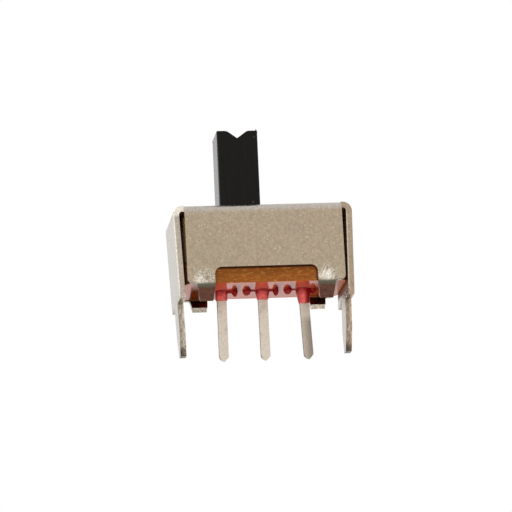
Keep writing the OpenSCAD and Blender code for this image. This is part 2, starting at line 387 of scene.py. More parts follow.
class PinSettings(bpy.types.PropertyGroup):
    """Sizes and colours of the three terminals."""

    pitch: bpy.props.FloatProperty(
        name="Pitch",
        description="Distance between neighbouring terminals",
        default=0.002,
        min=0.0015,
        max=0.0025,
        subtype="DISTANCE",
    )
    tail_width: bpy.props.FloatProperty(
        name="Tail width",
        description="Width of a terminal below the board",
        default=0.00045,
        min=0.0003,
        max=0.0006,
        subtype="DISTANCE",
    )
    shoulder_height: bpy.props.FloatProperty(
        name="Shoulder height",
        description="Height of the shoulders that stand on the board",
        default=0.00035,
        min=0.0002,
        max=0.0005,
        subtype="DISTANCE",
    )
    blade_width: bpy.props.FloatProperty(
        name="Blade width",
        description="Width of the contact blade above the shoulders",
        default=0.0006,
        min=0.0005,
        max=0.0007,
        subtype="DISTANCE",
    )
    blade_chamfer: bpy.props.FloatProperty(
        name="Blade chamfer",
        description="Chamfer of the blade's upper corners",
        default=0.00012,
        min=0.00005,
        max=0.0002,
        subtype="DISTANCE",
    )
    tip_radius: bpy.props.FloatProperty(
        name="Tip radius",
        description="Radius of the rounded corner at a tail's end",
        default=0.00028,
        min=0.0001,
        max=0.0003,
        subtype="DISTANCE",
    )
    tip_shear: bpy.props.FloatProperty(
        name="Tip shear",
        description="Rise of the sheared end towards its other side",
        default=0.00019,
        min=0.00005,
        max=0.0003,
        subtype="DISTANCE",
    )
    edge_round: bpy.props.FloatProperty(
        name="Edge rounding",
        description="Radius of the stamped edges",
        default=0.00003,
        min=0.00001,
        max=0.00008,
        subtype="DISTANCE",
    )
    leans: bpy.props.FloatVectorProperty(
        name="Leans",
        description="Sideways lean of the left, middle and right tail",
        default=[math.radians(angle) for angle in (-0.7, -0.2, 1.5)],
        size=3,
        unit="ROTATION",
    )
    plating_colour: bpy.props.FloatVectorProperty(
        name="Tin plating",
        description="Colour of the pale tin plating",
        default=linear("#dfd2c2"),
        size=3,
        min=0,
        max=1,
        subtype="COLOR",
    )
    side_colour: bpy.props.FloatVectorProperty(
        name="Sheared sides",
        description="Colour of the bare, browned sides of the tails",
        default=linear("#6f665c"),
        size=3,
        min=0,
        max=1,
        subtype="COLOR",
    )
    tarnish_colour: bpy.props.FloatVectorProperty(
        name="Tarnish",
        description="Colour of the greyer patches on the plating",
        default=linear("#8d8172"),
        size=3,
        min=0,
        max=1,
        subtype="COLOR",
    )


class LacquerSettings(bpy.types.PropertyGroup):
    """Sizes and colours of the sealing lacquer."""

    collar_radii: bpy.props.FloatVectorProperty(
        name="Collar radii",
        description="Radius of the lacquer round the left, middle and right tail, at the board",
        default=(0.0003, 0.00037, 0.00039),
        size=3,
        unit="LENGTH",
    )
    collar_ends: bpy.props.FloatVectorProperty(
        name="Collar ends",
        description="Radius of the lacquer round each tail, at its lower end",
        default=(0.00029, 0.00027, 0.00027),
        size=3,
        unit="LENGTH",
    )
    collar_drops: bpy.props.FloatVectorProperty(
        name="Collar lengths",
        description="How far the lacquer crept down the left, middle and right tail",
        default=(0.0005, 0.0005, 0.00074),
        size=3,
        unit="LENGTH",
    )
    flare: bpy.props.FloatProperty(
        name="Flare",
        description="How far each collar spreads onto the board",
        default=0.0001,
        min=0.00002,
        max=0.0002,
        subtype="DISTANCE",
    )
    run_radii: bpy.props.FloatVectorProperty(
        name="Run radii",
        description="Radius of each stretch of the run from a collar or to one, from the left",
        default=(0.00012, 0.00006, 0.00008, 0.00005, 0.00012),
        size=5,
        unit="LENGTH",
    )
    run_end: bpy.props.FloatProperty(
        name="Run end",
        description="Length of the run past the right tail, to the last drop",
        default=0.0005,
        min=0.0003,
        max=0.0006,
        subtype="DISTANCE",
    )
    small_drop: bpy.props.FloatVectorProperty(
        name="Small drops",
        description="Distance from the tail on the left, radius and height of the small drops",
        default=(0.00066, 0.00015, 0.0003),
        size=3,
        unit="LENGTH",
    )
    large_drop: bpy.props.FloatVectorProperty(
        name="Large drops",
        description="Distance from the tail on the left, radius and height of the large drops",
        default=(0.00124, 0.00021, 0.00026),
        size=3,
        unit="LENGTH",
    )
    last_drop: bpy.props.FloatVectorProperty(
        name="Last drop",
        description="Radius and height of the drop at the end of the run",
        default=(0.00017, 0.00028),
        size=2,
        unit="LENGTH",
    )
    grain: bpy.props.FloatProperty(
        name="Modelling grain",
        description="Side of the small cubes that the fluid shape is made from",
        default=0.00002,
        min=0.000012,
        max=0.00005,
        subtype="DISTANCE",
    )
    # Thin lacquer over the pins, and the painted highlight in the middle of each collar.
    thin_and_lit_colour: bpy.props.FloatVectorProperty(
        name="Thin lacquer",
        description="Colour of the lacquer where it is thin over the pale pins",
        default=linear("#ea6a66"),
        size=3,
        min=0,
        max=1,
        subtype="COLOR",
    )
    # Thick lacquer, and the painted shade at the collars' edges and on their right.
    lacquer_colour: bpy.props.FloatVectorProperty(
        name="Lacquer",
        description="Colour of the sealing lacquer in a thick layer",
        default=linear("#960a0e"),
        size=3,
        min=0,
        max=1,
        subtype="COLOR",
    )


class SliderSettings(bpy.types.PropertyGroup):
    """Sizes and colours of the slider."""

    body_top: bpy.props.FloatProperty(
        name="Body top",
        description="Height of the top of the slider's body, under the frame",
        default=0.00428,
        min=0.004,
        max=0.0043,
        subtype="DISTANCE",
    )
    body_radius: bpy.props.FloatProperty(
        name="Body corner radius",
        description="Radius of the body's upright edges",
        default=0.0002,
        min=0.0001,
        max=0.0003,
        subtype="DISTANCE",
    )
    body_chamfer: bpy.props.FloatProperty(
        name="Body chamfer",
        description="Chamfer that clears the frame's inner bends",
        default=0.00016,
        min=0.0001,
        max=0.0003,
        subtype="DISTANCE",
    )
    handle_length: bpy.props.FloatProperty(
        name="Handle length",
        description="Length of the handle along the travel",
        default=0.002,
        min=0.0015,
        max=0.0024,
        subtype="DISTANCE",
    )
    handle_width: bpy.props.FloatProperty(
        name="Handle width",
        description="Width of the handle across the travel",
        default=0.002,
        min=0.001,
        max=0.0022,
        subtype="DISTANCE",
    )
    handle_shift: bpy.props.FloatProperty(
        name="Handle shift",
        description="How far the handle stands to the right of the body's middle",
        default=0.00003,
        min=0,
        max=0.00005,
        subtype="DISTANCE",
    )
    handle_trim: bpy.props.FloatProperty(
        name="Handle trim",
        description="How far the shrunken moulding's end stays below its nominal height",
        default=0.00006,
        min=0,
        max=0.0001,
        subtype="DISTANCE",
    )
    handle_lean: bpy.props.FloatProperty(
        name="Handle lean",
        description="Sideways lean of the handle",
        default=math.radians(0.7),
        unit="ROTATION",
    )
    handle_radius: bpy.props.FloatProperty(
        name="Handle corner radius",
        description="Radius of the handle's upright edges",
        default=0.0001,
        min=0.00004,
        max=0.0002,
        subtype="DISTANCE",
    )
    notch_width: bpy.props.FloatProperty(
        name="Notch width",
        description="Width of the V notch across the handle's end",
        default=0.001,
        min=0.0005,
        max=0.0014,
        subtype="DISTANCE",
    )
    notch_depth: bpy.props.FloatProperty(
        name="Notch depth",
        description="Depth of the V notch",
        default=0.00037,
        min=0.0001,
        max=0.0006,
        subtype="DISTANCE",
    )
    shoulder_setback: bpy.props.FloatProperty(
        name="Notch shoulder",
        description="Length of the rounding at the mouth of the notch",
        default=0.000092,
        min=0.00002,
        max=0.0002,
        subtype="DISTANCE",
    )
    edge_round: bpy.props.FloatProperty(
        name="Edge rounding",
        description="Radius of the moulded edges round the handle's end",
        default=0.00003,
        min=0.00001,
        max=0.00008,
        subtype="DISTANCE",
    )
    channel: bpy.props.FloatVectorProperty(
        name="Channel",
        description="Half width and top of the channel that clears the contact blades",
        default=(0.00037, 0.00346),
        size=2,
        unit="LENGTH",
    )
    pocket: bpy.props.FloatVectorProperty(
        name="Pocket",
        description="Length, width and top of the moving contact's pocket",
        default=(0.00294, 0.00134, 0.0036),
        size=3,
        unit="LENGTH",
    )
    flash_height: bpy.props.FloatProperty(
        name="Flash height",
        description="Height of the two spurs of moulding flash on the handle's end",
        default=0.00008,
        min=0.00001,
        max=0.0002,
        subtype="DISTANCE",
    )
    flash_width: bpy.props.FloatProperty(
        name="Flash width",
        description="Distance of a spur's point from the sides of the handle",
        default=0.00006,
        min=0.00002,
        max=0.0001,
        subtype="DISTANCE",
    )
    plastic_colour: bpy.props.FloatVectorProperty(
        name="Plastic",
        description="Colour of the black moulding",
        default=linear("#0d0b07"),
        size=3,
        min=0,
        max=1,
        subtype="COLOR",
    )
    grease_colour: bpy.props.FloatVectorProperty(
        name="Contact grease",
        description="Colour of the grease film on the body's sides",
        default=linear("#6a5030"),
        size=3,
        min=0,
        max=1,
        subtype="COLOR",
    )
    dust_colour: bpy.props.FloatVectorProperty(
        name="Dust",
        description="Colour of the specks of dust on the handle",
        default=linear("#5d5953"),
        size=3,
        min=0,
        max=1,
        subtype="COLOR",
    )


class ContactSettings(bpy.types.PropertyGroup):
    """Colours of the moving contact."""

    silver_colour: bpy.props.FloatVectorProperty(
        name="Silver plating",
        description="Colour of the silver over the contact's bronze",
        default=linear("#d8cfbe"),
        size=3,
        min=0,
        max=1,
        subtype="COLOR",
    )
    bronze_colour: bpy.props.FloatVectorProperty(
        name="Bronze",
        description="Colour of the phosphor bronze where the silver is thin",
        default=linear("#b98d5a"),
        size=3,
        min=0,
        max=1,
        subtype="COLOR",
    )


class StageSettings(bpy.types.PropertyGroup):
    """Camera, floor and lights."""

    azimuth: bpy.props.FloatProperty(
        name="Azimuth",
        description="Angle of the camera round the switch, from its front",
        default=math.radians(-7.234),
        unit="ROTATION",
    )
    elevation: bpy.props.FloatProperty(
        name="Elevation",
        description="Angle of the camera above the floor; below zero it looks up",
        default=math.radians(-12.842),
        unit="ROTATION",
    )
    roll: bpy.props.FloatProperty(
        name="Roll",
        description="Turn of the camera about its own line of sight",
        default=math.radians(-3.213),
        unit="ROTATION",
    )
    aim: bpy.props.FloatVectorProperty(
        name="Aim",
        description="Point that the lamps face, and that the camera's framing starts from",
        default=(0, 0, 0.002),
        size=3,
        subtype="TRANSLATION",
    )
    distance: bpy.props.FloatProperty(
        name="Distance",
        description="Distance of the camera from that point",
        default=0.2,
        min=0.05,
        max=1,
        subtype="DISTANCE",
    )
    slide: bpy.props.FloatVectorProperty(
        name="Slide",
        description="How far the camera is slid right and up from that point",
        default=(-0.000231, 0.000503),
        size=2,
        unit="LENGTH",
    )
    lens: bpy.props.FloatProperty(
        name="Lens",
        description="Focal length on a 36 mm sensor",
        default=289.57,
        min=50,
        max=500,
        subtype="DISTANCE_CAMERA",
    )
    floor_colour: bpy.props.FloatVectorProperty(
        name="Floor",
        description="Colour of the plain floor",
        default=linear("#e4e2de"),
        size=3,
        min=0,
        max=1,
        subtype="COLOR",
    )
    floor_size: bpy.props.FloatProperty(
        name="Floor size",
        description="Length of a side of the floor",
        default=2,
        min=0.5,
        max=5,
        subtype="DISTANCE",
    )
    floor_gap: bpy.props.FloatProperty(
        name="Floor gap",
        description="Gap between the tips of the pins and the floor",
        default=0.00002,
        min=0,
        max=0.001,
        subtype="DISTANCE",
    )
    ambient: bpy.props.FloatProperty(
        name="Ambient light",
        description="Strength of the even light from all round",
        default=0.45,
        min=0,
        max=1,
        subtype="FACTOR",
    )
    key_power: bpy.props.FloatProperty(
        name="Key lamp",
        description="Power of the soft lamp above the switch's left front",
        default=0.02,
        min=0,
        max=1,
        subtype="POWER",
    )
    low_power: bpy.props.FloatProperty(
        name="Low lamp",
        description="Power of the soft lamp low in front, which lights the switch under its board",
        default=0.032,
        min=0,
        max=1,
        subtype="POWER",
    )
    side_power: bpy.props.FloatProperty(
        name="Side lamp",
        description="Power of the soft lamp at the left, which picks out the rolled edges",
        default=0.08,
        min=0,
        max=1,
        subtype="POWER",
    )
    top_power: bpy.props.FloatProperty(
        name="Top lamp",
        description="Power of the soft lamp overhead",
        default=0.03,
        min=0,
        max=1,
        subtype="POWER",
    )


class SlideSwitchSettings(bpy.types.PropertyGroup):
    """Every setting of the slide switch."""

    frame: bpy.props.PointerProperty(
        type=FrameSettings, name="Frame", description="Settings of the folded frame"
    )
    board: bpy.props.PointerProperty(
        type=BoardSettings, name="Base board", description="Settings of the base board"
    )
    pins: bpy.props.PointerProperty(
        type=PinSettings, name="Terminals", description="Settings of the terminals"
    )
    lacquer: bpy.props.PointerProperty(
        type=LacquerSettings, name="Sealing lacquer", description="Settings of the sealing lacquer"
    )
    slider: bpy.props.PointerProperty(
        type=SliderSettings, name="Slider", description="Settings of the slider"
    )
    contact: bpy.props.PointerProperty(
        type=ContactSettings, name="Moving contact", description="Settings of the moving contact"
    )
    stage: bpy.props.PointerProperty(
        type=StageSettings, name="Stage", description="Settings of the camera, floor and lamps"
    )


# ---------------------------------------------------------------- modelling


def only(obj):
    """Leaves edit mode and makes obj the one selected and active object."""
    if bpy.context.mode != "OBJECT":
        bpy.ops.object.mode_set(mode="OBJECT")
    bpy.ops.object.select_all(action="DESELECT")
    obj.select_set(True)
    bpy.context.view_layer.objects.active = obj


@contextmanager
def editing(obj):
    """Holds obj in edit mode."""
    only(obj)
    bpy.ops.object.mode_set(mode="EDIT")
    yield
    bpy.ops.object.mode_set(mode="OBJECT")


def pick(obj, kind, test):
    """In edit mode, selects only the verts, edges or faces that pass the test."""
    modes = {"verts": "VERT", "edges": "EDGE", "faces": "FACE"}
    bpy.ops.mesh.select_mode(type=modes[kind])
    bpy.ops.mesh.select_all(action="DESELECT")
    mesh = bmesh.from_edit_mesh(obj.data)
    chosen = [item for item in getattr(mesh, kind) if test(item)]
    if not chosen:
        raise RuntimeError(f"{obj.name}: no {kind} to work on")
    for item in chosen:
        item.select_set(True)
    bmesh.update_edit_mesh(obj.data)


def middle(edge):
    """Middle of an edge."""
    return (edge.verts[0].co + edge.verts[1].co) / 2


def runs_along(edge, axis):
    """True if an edge is parallel to an axis, 0, 1 or 2."""
    span = edge.verts[1].co - edge.verts[0].co
    return abs(span[axis]) > 0.999 * span.length


def near(value, target, margin=0.002):
    """True if a coordinate is at the target."""
    return abs(value - target) < margin


def settle(obj):
    """Puts the object's place, turn and scale into its mesh."""
    only(obj)
    bpy.ops.object.transform_apply(location=True, rotation=True, scale=True)


def block(name, low, high):
    """A block between two corners, ready to be shaped."""
    low, high = Vector(low), Vector(high)
    if bpy.context.mode != "OBJECT":
        bpy.ops.object.mode_set(mode="OBJECT")
    bpy.ops.object.select_all(action="DESELECT")
    bpy.ops.mesh.primitive_cube_add(size=1, location=(low + high) / 2, scale=high - low)
    obj = bpy.context.active_object
    obj.name = obj.data.name = name
    settle(obj)
    return obj


def modify(obj, kind, **settings):
    """Adds a modifier with these settings and applies it."""
    only(obj)
    modifier = obj.modifiers.new(kind.title(), kind)
    for key, value in settings.items():
        setattr(modifier, key, value)
    bpy.ops.object.modifier_apply(modifier=modifier.name)


def combine(obj, tool, operation):
    """Joins a tool shape to obj, or cuts it away, and removes the tool."""
    modify(obj, "BOOLEAN", operation=operation, object=tool, solver="EXACT")
    bpy.data.objects.remove(tool)


def soften(obj, width, segments=2, angle=40):
    """Rounds every edge that is sharper than the angle."""
    modify(
        obj,
        "BEVEL",
        width=width,
        segments=segments,
        limit_method="ANGLE",
        angle_limit=math.radians(angle),
    )


def bisect(obj, faces, place, normal, **options):
    """Cuts the faces that pass a test by a plane."""
    pick(obj, "faces", faces)
    bpy.ops.mesh.bisect(plane_co=place, plane_no=normal, threshold=0.0005, **options)


def merged_copy(node, name):
    """A copy of a CAD node in millimetres, its loose triangles merged into whole faces."""
    copy = bpy.data.objects.new(name, frame["nodes"][node].data.copy())
    copy.data.name = name
    copy.data.materials.clear()
    bpy.context.scene.collection.objects.link(copy)
    copy.scale = [PER_METRE] * 3
    settle(copy)
    bpy.ops.mesh.customdata_custom_splitnormals_clear()
    with editing(copy):
        bpy.ops.mesh.select_all(action="SELECT")
        bpy.ops.mesh.remove_doubles(threshold=0.0005)
        bpy.ops.mesh.dissolve_limited(angle_limit=math.radians(0.3))
    return copy


def finish_piece(obj, body, node, materials, smooth_angle=50):
    """Brings a piece to metres, shades it, and puts it in the place of its CAD node."""
    obj.scale = [1 / PER_METRE] * 3
    settle(obj)
    for material in materials:
        obj.data.materials.append(material)
    bpy.ops.object.shade_smooth_by_angle(angle=math.radians(smooth_angle))
    modify(obj, "WEIGHTED_NORMAL", keep_sharp=True, weight=60)
    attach(obj, body)
    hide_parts(node)


# ---------------------------------------------------------------- materials


def add_node(tree, kind, inputs=None, **settings):
    """Adds a shader node. An input is given a value, or a link from another node's output."""
    node = tree.nodes.new("ShaderNode" + kind)
    for key, value in settings.items():
        setattr(node, key, value)
    for key, value in (inputs or {}).items():
        socket = node.inputs[key]
        if isinstance(value, bpy.types.NodeSocket):
            tree.links.new(value, socket)
        elif socket.type == "RGBA":
            socket.default_value = (*value[:3], 1)
        else:
            socket.default_value = value
    return node


def new_material(name, **values):
    """A material with its surface shader, and the piece's own coordinates in millimetres."""
    material = bpy.data.materials.new(name)
    material.use_nodes = True
    tree = material.node_tree
    shader = tree.nodes["Principled BSDF"]
    for key, value in values.items():
        shader.inputs[key.replace("_", " ")].default_value = value
    place = add_node(tree, "TexCoord").outputs["Object"]
    scaled = {0: place, "Scale": PER_METRE}
    place = add_node(tree, "VectorMath", scaled, operation="SCALE").outputs[0]
    return material, tree, shader, place


def plated_steel(look):
    """Nickel-plated steel sheet, cold rolled and stamped.

    Rolling leaves a satin surface with a fine grain, and a few glints are painted on as highlights.
    The bends and the end plates are painted lighter as a painted reflection. The clinching tool
    dents and scratches the corners above the feet, and these marks carry painted highlight and
    painted shade. The feet and a band above them are painted dark, and the inside is painted
    brown, as painted shade.
    """
    material, tree, shader, place = new_material("nickel_plated_steel", Metallic=1)
    side, unused, height = add_node(tree, "SeparateXYZ", {"Vector": place}).outputs
    folded = add_node(tree, "VectorMath", {0: place}, operation="ABSOLUTE").outputs[0]
    along, across, unused = add_node(tree, "SeparateXYZ", {"Vector": folded}).outputs
    facing = add_node(tree, "TexCoord").outputs["Normal"]
    facing = add_node(tree, "VectorMath", {0: facing}, operation="ABSOLUTE").outputs[0]
    facing = add_node(tree, "SeparateXYZ", {"Vector": facing}).outputs["X"]
    # Rolled grain of about 0.02 mm, drawn at 0.1 mm so that it shows, in clouds of 0.6 mm.
    grain = add_node(
        tree, "TexNoise", {"Vector": place, "Scale": 1 / 0.1, "Detail": 4, "Roughness": 0.8}
    ).outputs["Fac"]
    cloud = add_node(tree, "TexNoise", {"Vector": place, "Scale": 1 / 0.6, "Detail": 2})
    tone = add_node(
        tree,
        "MapRange",
        {"Value": grain, "From Min": 0.36, "From Max": 0.64, "To Min": 0.8, "To Max": 1.2},
    ).outputs["Result"]
    tint = add_node(
        tree,
        "Mix",
        {0: 0.06, 6: (1, 1, 1), 7: cloud.outputs["Color"]},
        data_type="RGBA",
    ).outputs[2]
    # Painted reflection: the bends and the end plates are painted lighter, standing in for the
    # light that their turned faces mirror.
    bend = add_node(
        tree,
        "MapRange",
        {"Value": height, "From Min": 4.15, "From Max": 4.5},
        interpolation_type="SMOOTHSTEP",
    ).outputs["Result"]
    end = add_node(
        tree, "MapRange", {"Value": facing, "From Min": 0.8, "From Max": 0.95}
    ).outputs["Result"]
    polished = add_node(tree, "Math", {0: bend, 1: end}, operation="MAXIMUM").outputs[0]
    colour = add_node(
        tree,
        "Mix",
        {0: polished, 6: look.plate_colour, 7: look.painted_reflection_colour},
        data_type="RGBA",
    ).outputs[2]
    colour = add_node(
        tree, "VectorMath", {0: colour, 1: tint}, operation="MULTIPLY"
    ).outputs[0]
    colour = add_node(
        tree, "VectorMath", {0: colour, "Scale": tone}, operation="SCALE"
    ).outputs[0]
    # Painted highlights: glints painted on one cell in ten, 0.12 mm apart.
    cells = add_node(tree, "TexVoronoi", {"Vector": place, "Scale": 1 / 0.12})
    small = add_node(
        tree, "MapRange", {"Value": cells.outputs["Distance"], "From Min": 0.35, "From Max": 0.15}
    ).outputs["Result"]
    rare = add_node(tree, "SeparateColor", {"Color": cells.outputs["Color"]}).outputs["Red"]
    rare = add_node(tree, "Math", {0: rare, 1: 0.9}, operation="GREATER_THAN").outputs[0]
    painted_glint = add_node(tree, "Math", {0: small, 1: rare}, operation="MULTIPLY").outputs[0]
    painted_glint = add_node(tree, "Math", {0: painted_glint, 1: 0.4}, operation="MULTIPLY").outputs[0]
    colour = add_node(
        tree, "Mix", {0: painted_glint, 6: colour, 7: look.highlight_colour}, data_type="RGBA"
    ).outputs[2]

    # The tool mark on the outer face of each corner: speckled at one end of the frame, and at
    # the other with scratches 0.4 mm long that slant up across the corner.
    reach = add_node(
        tree, "VectorMath", {0: folded, 1: mm(look.mark_place)}, operation="DISTANCE"
    ).outputs["Value"]
    mark = add_node(
        tree,
        "MapRange",
        {"Value": reach, "From Min": mm(look.mark_radius), "From Max": 0.25},
        interpolation_type="SMOOTHSTEP",
    ).outputs["Result"]
    speckle = add_node(
        tree, "TexNoise", {"Vector": place, "Scale": 1 / 0.08, "Detail": 4, "Roughness": 0.9}
    ).outputs["Fac"]
    slant = add_node(
        tree,
        "Mapping",
        {"Vector": place, "Rotation": (0, math.radians(-58), 0), "Scale": (0.4, 0.3, 0.09)},
        vector_type="TEXTURE",
    ).outputs["Vector"]
    scratch = add_node(
        tree, "TexNoise", {"Vector": slant, "Scale": 1, "Detail": 4, "Roughness": 0.85}
    ).outputs["Fac"]
    other_end = add_node(
        tree, "MapRange", {"Value": side, "From Min": -1, "From Max": 1}
    ).outputs["Result"]
    wear = add_node(
        tree, "Mix", {0: other_end, 2: speckle, 3: scratch}, data_type="FLOAT"
    ).outputs[0]
    # A painted highlight in each mark: a spot on the outer side at the left, on the inner side at
    # the right.
    folded_back = add_node(tree, "CombineXYZ", {"X": side, "Y": across, "Z": height}).outputs[0]
    spots = [
        add_node(
            tree, "VectorMath", {0: folded_back, 1: mm(spot)}, operation="DISTANCE"
        ).outputs["Value"]
        for spot in (look.left_spot, look.right_spot)
    ]
    nearest = add_node(tree, "Math", {0: spots[0], 1: spots[1]}, operation="MINIMUM").outputs[0]
    highlighted = add_node(
        tree,
        "MapRange",
        {"Value": nearest, "From Min": 0.55, "From Max": 0.1, "To Max": 0.11},
        interpolation_type="SMOOTHSTEP",
    ).outputs["Result"]
    wear = add_node(tree, "Math", {0: highlighted, 1: wear}, operation="ADD").outputs[0]
    # The marks are real dents and scratches, given by the bump; their light specks are painted
    # highlight and their dark specks painted shade.
    lit = add_node(
        tree, "MapRange", {"Value": wear, "From Min": 0.48, "From Max": 0.66}
    ).outputs["Result"]
    lit = add_node(tree, "Math", {0: lit, 1: mark}, operation="MULTIPLY").outputs[0]
    colour = add_node(
        tree, "Mix", {0: lit, 6: colour, 7: look.highlight_colour}, data_type="RGBA"
    ).outputs[2]
    shaded = add_node(
        tree, "MapRange", {"Value": wear, "From Min": 0.48, "From Max": 0.38, "To Max": 0.9}
    ).outputs["Result"]
    shaded = add_node(tree, "Math", {0: shaded, 1: mark}, operation="MULTIPLY").outputs[0]

    # Painted shade: a dark band above each foot, and the feet painted dark.
    beside = add_node(
        tree, "MapRange", {"Value": along, "From Min": 3.75, "From Max": 3.65}
    ).outputs["Result"]
    band = add_node(
        tree,
        "MapRange",
        {"Value": height, "From Min": 0.88, "From Max": 0.7},
        interpolation_type="SMOOTHSTEP",
    ).outputs["Result"]
    band = add_node(tree, "Math", {0: band, 1: beside}, operation="MULTIPLY").outputs[0]
    shaded = add_node(tree, "Math", {0: shaded, 1: band}, operation="MAXIMUM").outputs[0]
    colour = add_node(
        tree, "Mix", {0: shaded, 6: colour, 7: look.speck_and_band_shade_colour}, data_type="RGBA"
    ).outputs[2]
    foot = add_node(
        tree,
        "MapRange",
        {"Value": height, "From Min": 0.68, "From Max": 0.5},
        interpolation_type="SMOOTHSTEP",
    ).outputs["Result"]
    foot = add_node(tree, "Math", {0: foot, 1: beside}, operation="MULTIPLY").outputs[0]
    # Painted shade inside: all that is above the feet, and on the end plates from a little lower
    # down, is painted brown.
    inside = add_node(
        tree, "MapRange", {"Value": height, "From Min": 0.75, "From Max": 0.85}
    ).outputs["Result"]
    below = add_node(
        tree, "MapRange", {"Value": height, "From Min": 0.5, "From Max": 0.75}
    ).outputs["Result"]
    by_plate = add_node(
        tree, "MapRange", {"Value": along, "From Min": 3.8, "From Max": 3.86}
    ).outputs["Result"]
    below = add_node(tree, "Math", {0: below, 1: by_plate}, operation="MULTIPLY").outputs[0]
    inside = add_node(tree, "Math", {0: inside, 1: below}, operation="MAXIMUM").outputs[0]
    for coordinate, edge in ((along, 4.12), (across, 1.98), (height, 4.46)):
        within = add_node(
            tree, "MapRange", {"Value": coordinate, "From Min": edge, "From Max": edge - 0.06}
        ).outputs["Result"]
        inside = add_node(tree, "Math", {0: inside, 1: within}, operation="MULTIPLY").outputs[0]
    # The painted shade on the feet is mottled in blotches 0.25 mm across.
    blotch = add_node(
        tree, "TexNoise", {"Vector": place, "Scale": 1 / 0.25, "Detail": 3, "Roughness": 0.7}
    ).outputs["Fac"]
    blotch = add_node(
        tree,
        "MapRange",
        {"Value": blotch, "From Min": 0.35, "From Max": 0.65, "To Min": 0.75, "To Max": 1.25},
    ).outputs["Result"]
    shadowed = add_node(
        tree, "VectorMath", {0: look.foot_shade_colour, "Scale": blotch}, operation="SCALE"
    ).outputs[0]
    colour = add_node(
        tree, "Mix", {0: foot, 6: colour, 7: shadowed}, data_type="RGBA"
    ).outputs[2]
    colour = add_node(
        tree, "Mix", {0: inside, 6: colour, 7: look.inside_shade_colour}, data_type="RGBA"
    ).outputs[2]
    # Painted shadow in and beside the relief slots at the legs' roots.
    shadow = add_node(
        tree, "MapRange", {"Value": along, "From Min": 3.8, "From Max": 3.86}
    ).outputs["Result"]
    for coordinate, low, high in (
        (across, 0.64, 0.72),
        (across, 0.92, 0.84),
        (height, 0.05, 0.12),
        (height, 0.5, 0.44),
    ):
        within = add_node(
            tree, "MapRange", {"Value": coordinate, "From Min": low, "From Max": high}
        ).outputs["Result"]
        shadow = add_node(tree, "Math", {0: shadow, 1: within}, operation="MULTIPLY").outputs[0]
    colour = add_node(
        tree, "Mix", {0: shadow, 6: colour, 7: look.tip_and_shadow_colour}, data_type="RGBA"
    ).outputs[2]
    tree.links.new(colour, shader.inputs["Base Color"])

    rough = add_node(
        tree,
        "MapRange",
        {"Value": grain, "From Min": 0.3, "From Max": 0.7, "To Min": 0.2, "To Max": 0.32},
    ).outputs["Result"]
    rough = add_node(
        tree, "Mix", {0: inside, 2: rough, 3: 0.75}, data_type="FLOAT"
    ).outputs[0]
    tree.links.new(rough, shader.inputs["Roughness"])
    relief = add_node(tree, "Mix", {0: mark, 2: grain, 3: wear}, data_type="FLOAT").outputs[0]
    bump = add_node(
        tree, "Bump", {"Height": relief, "Strength": 1, "Distance": 0.00001}
    ).outputs["Normal"]
    tree.links.new(bump, shader.inputs["Normal"])
    return material


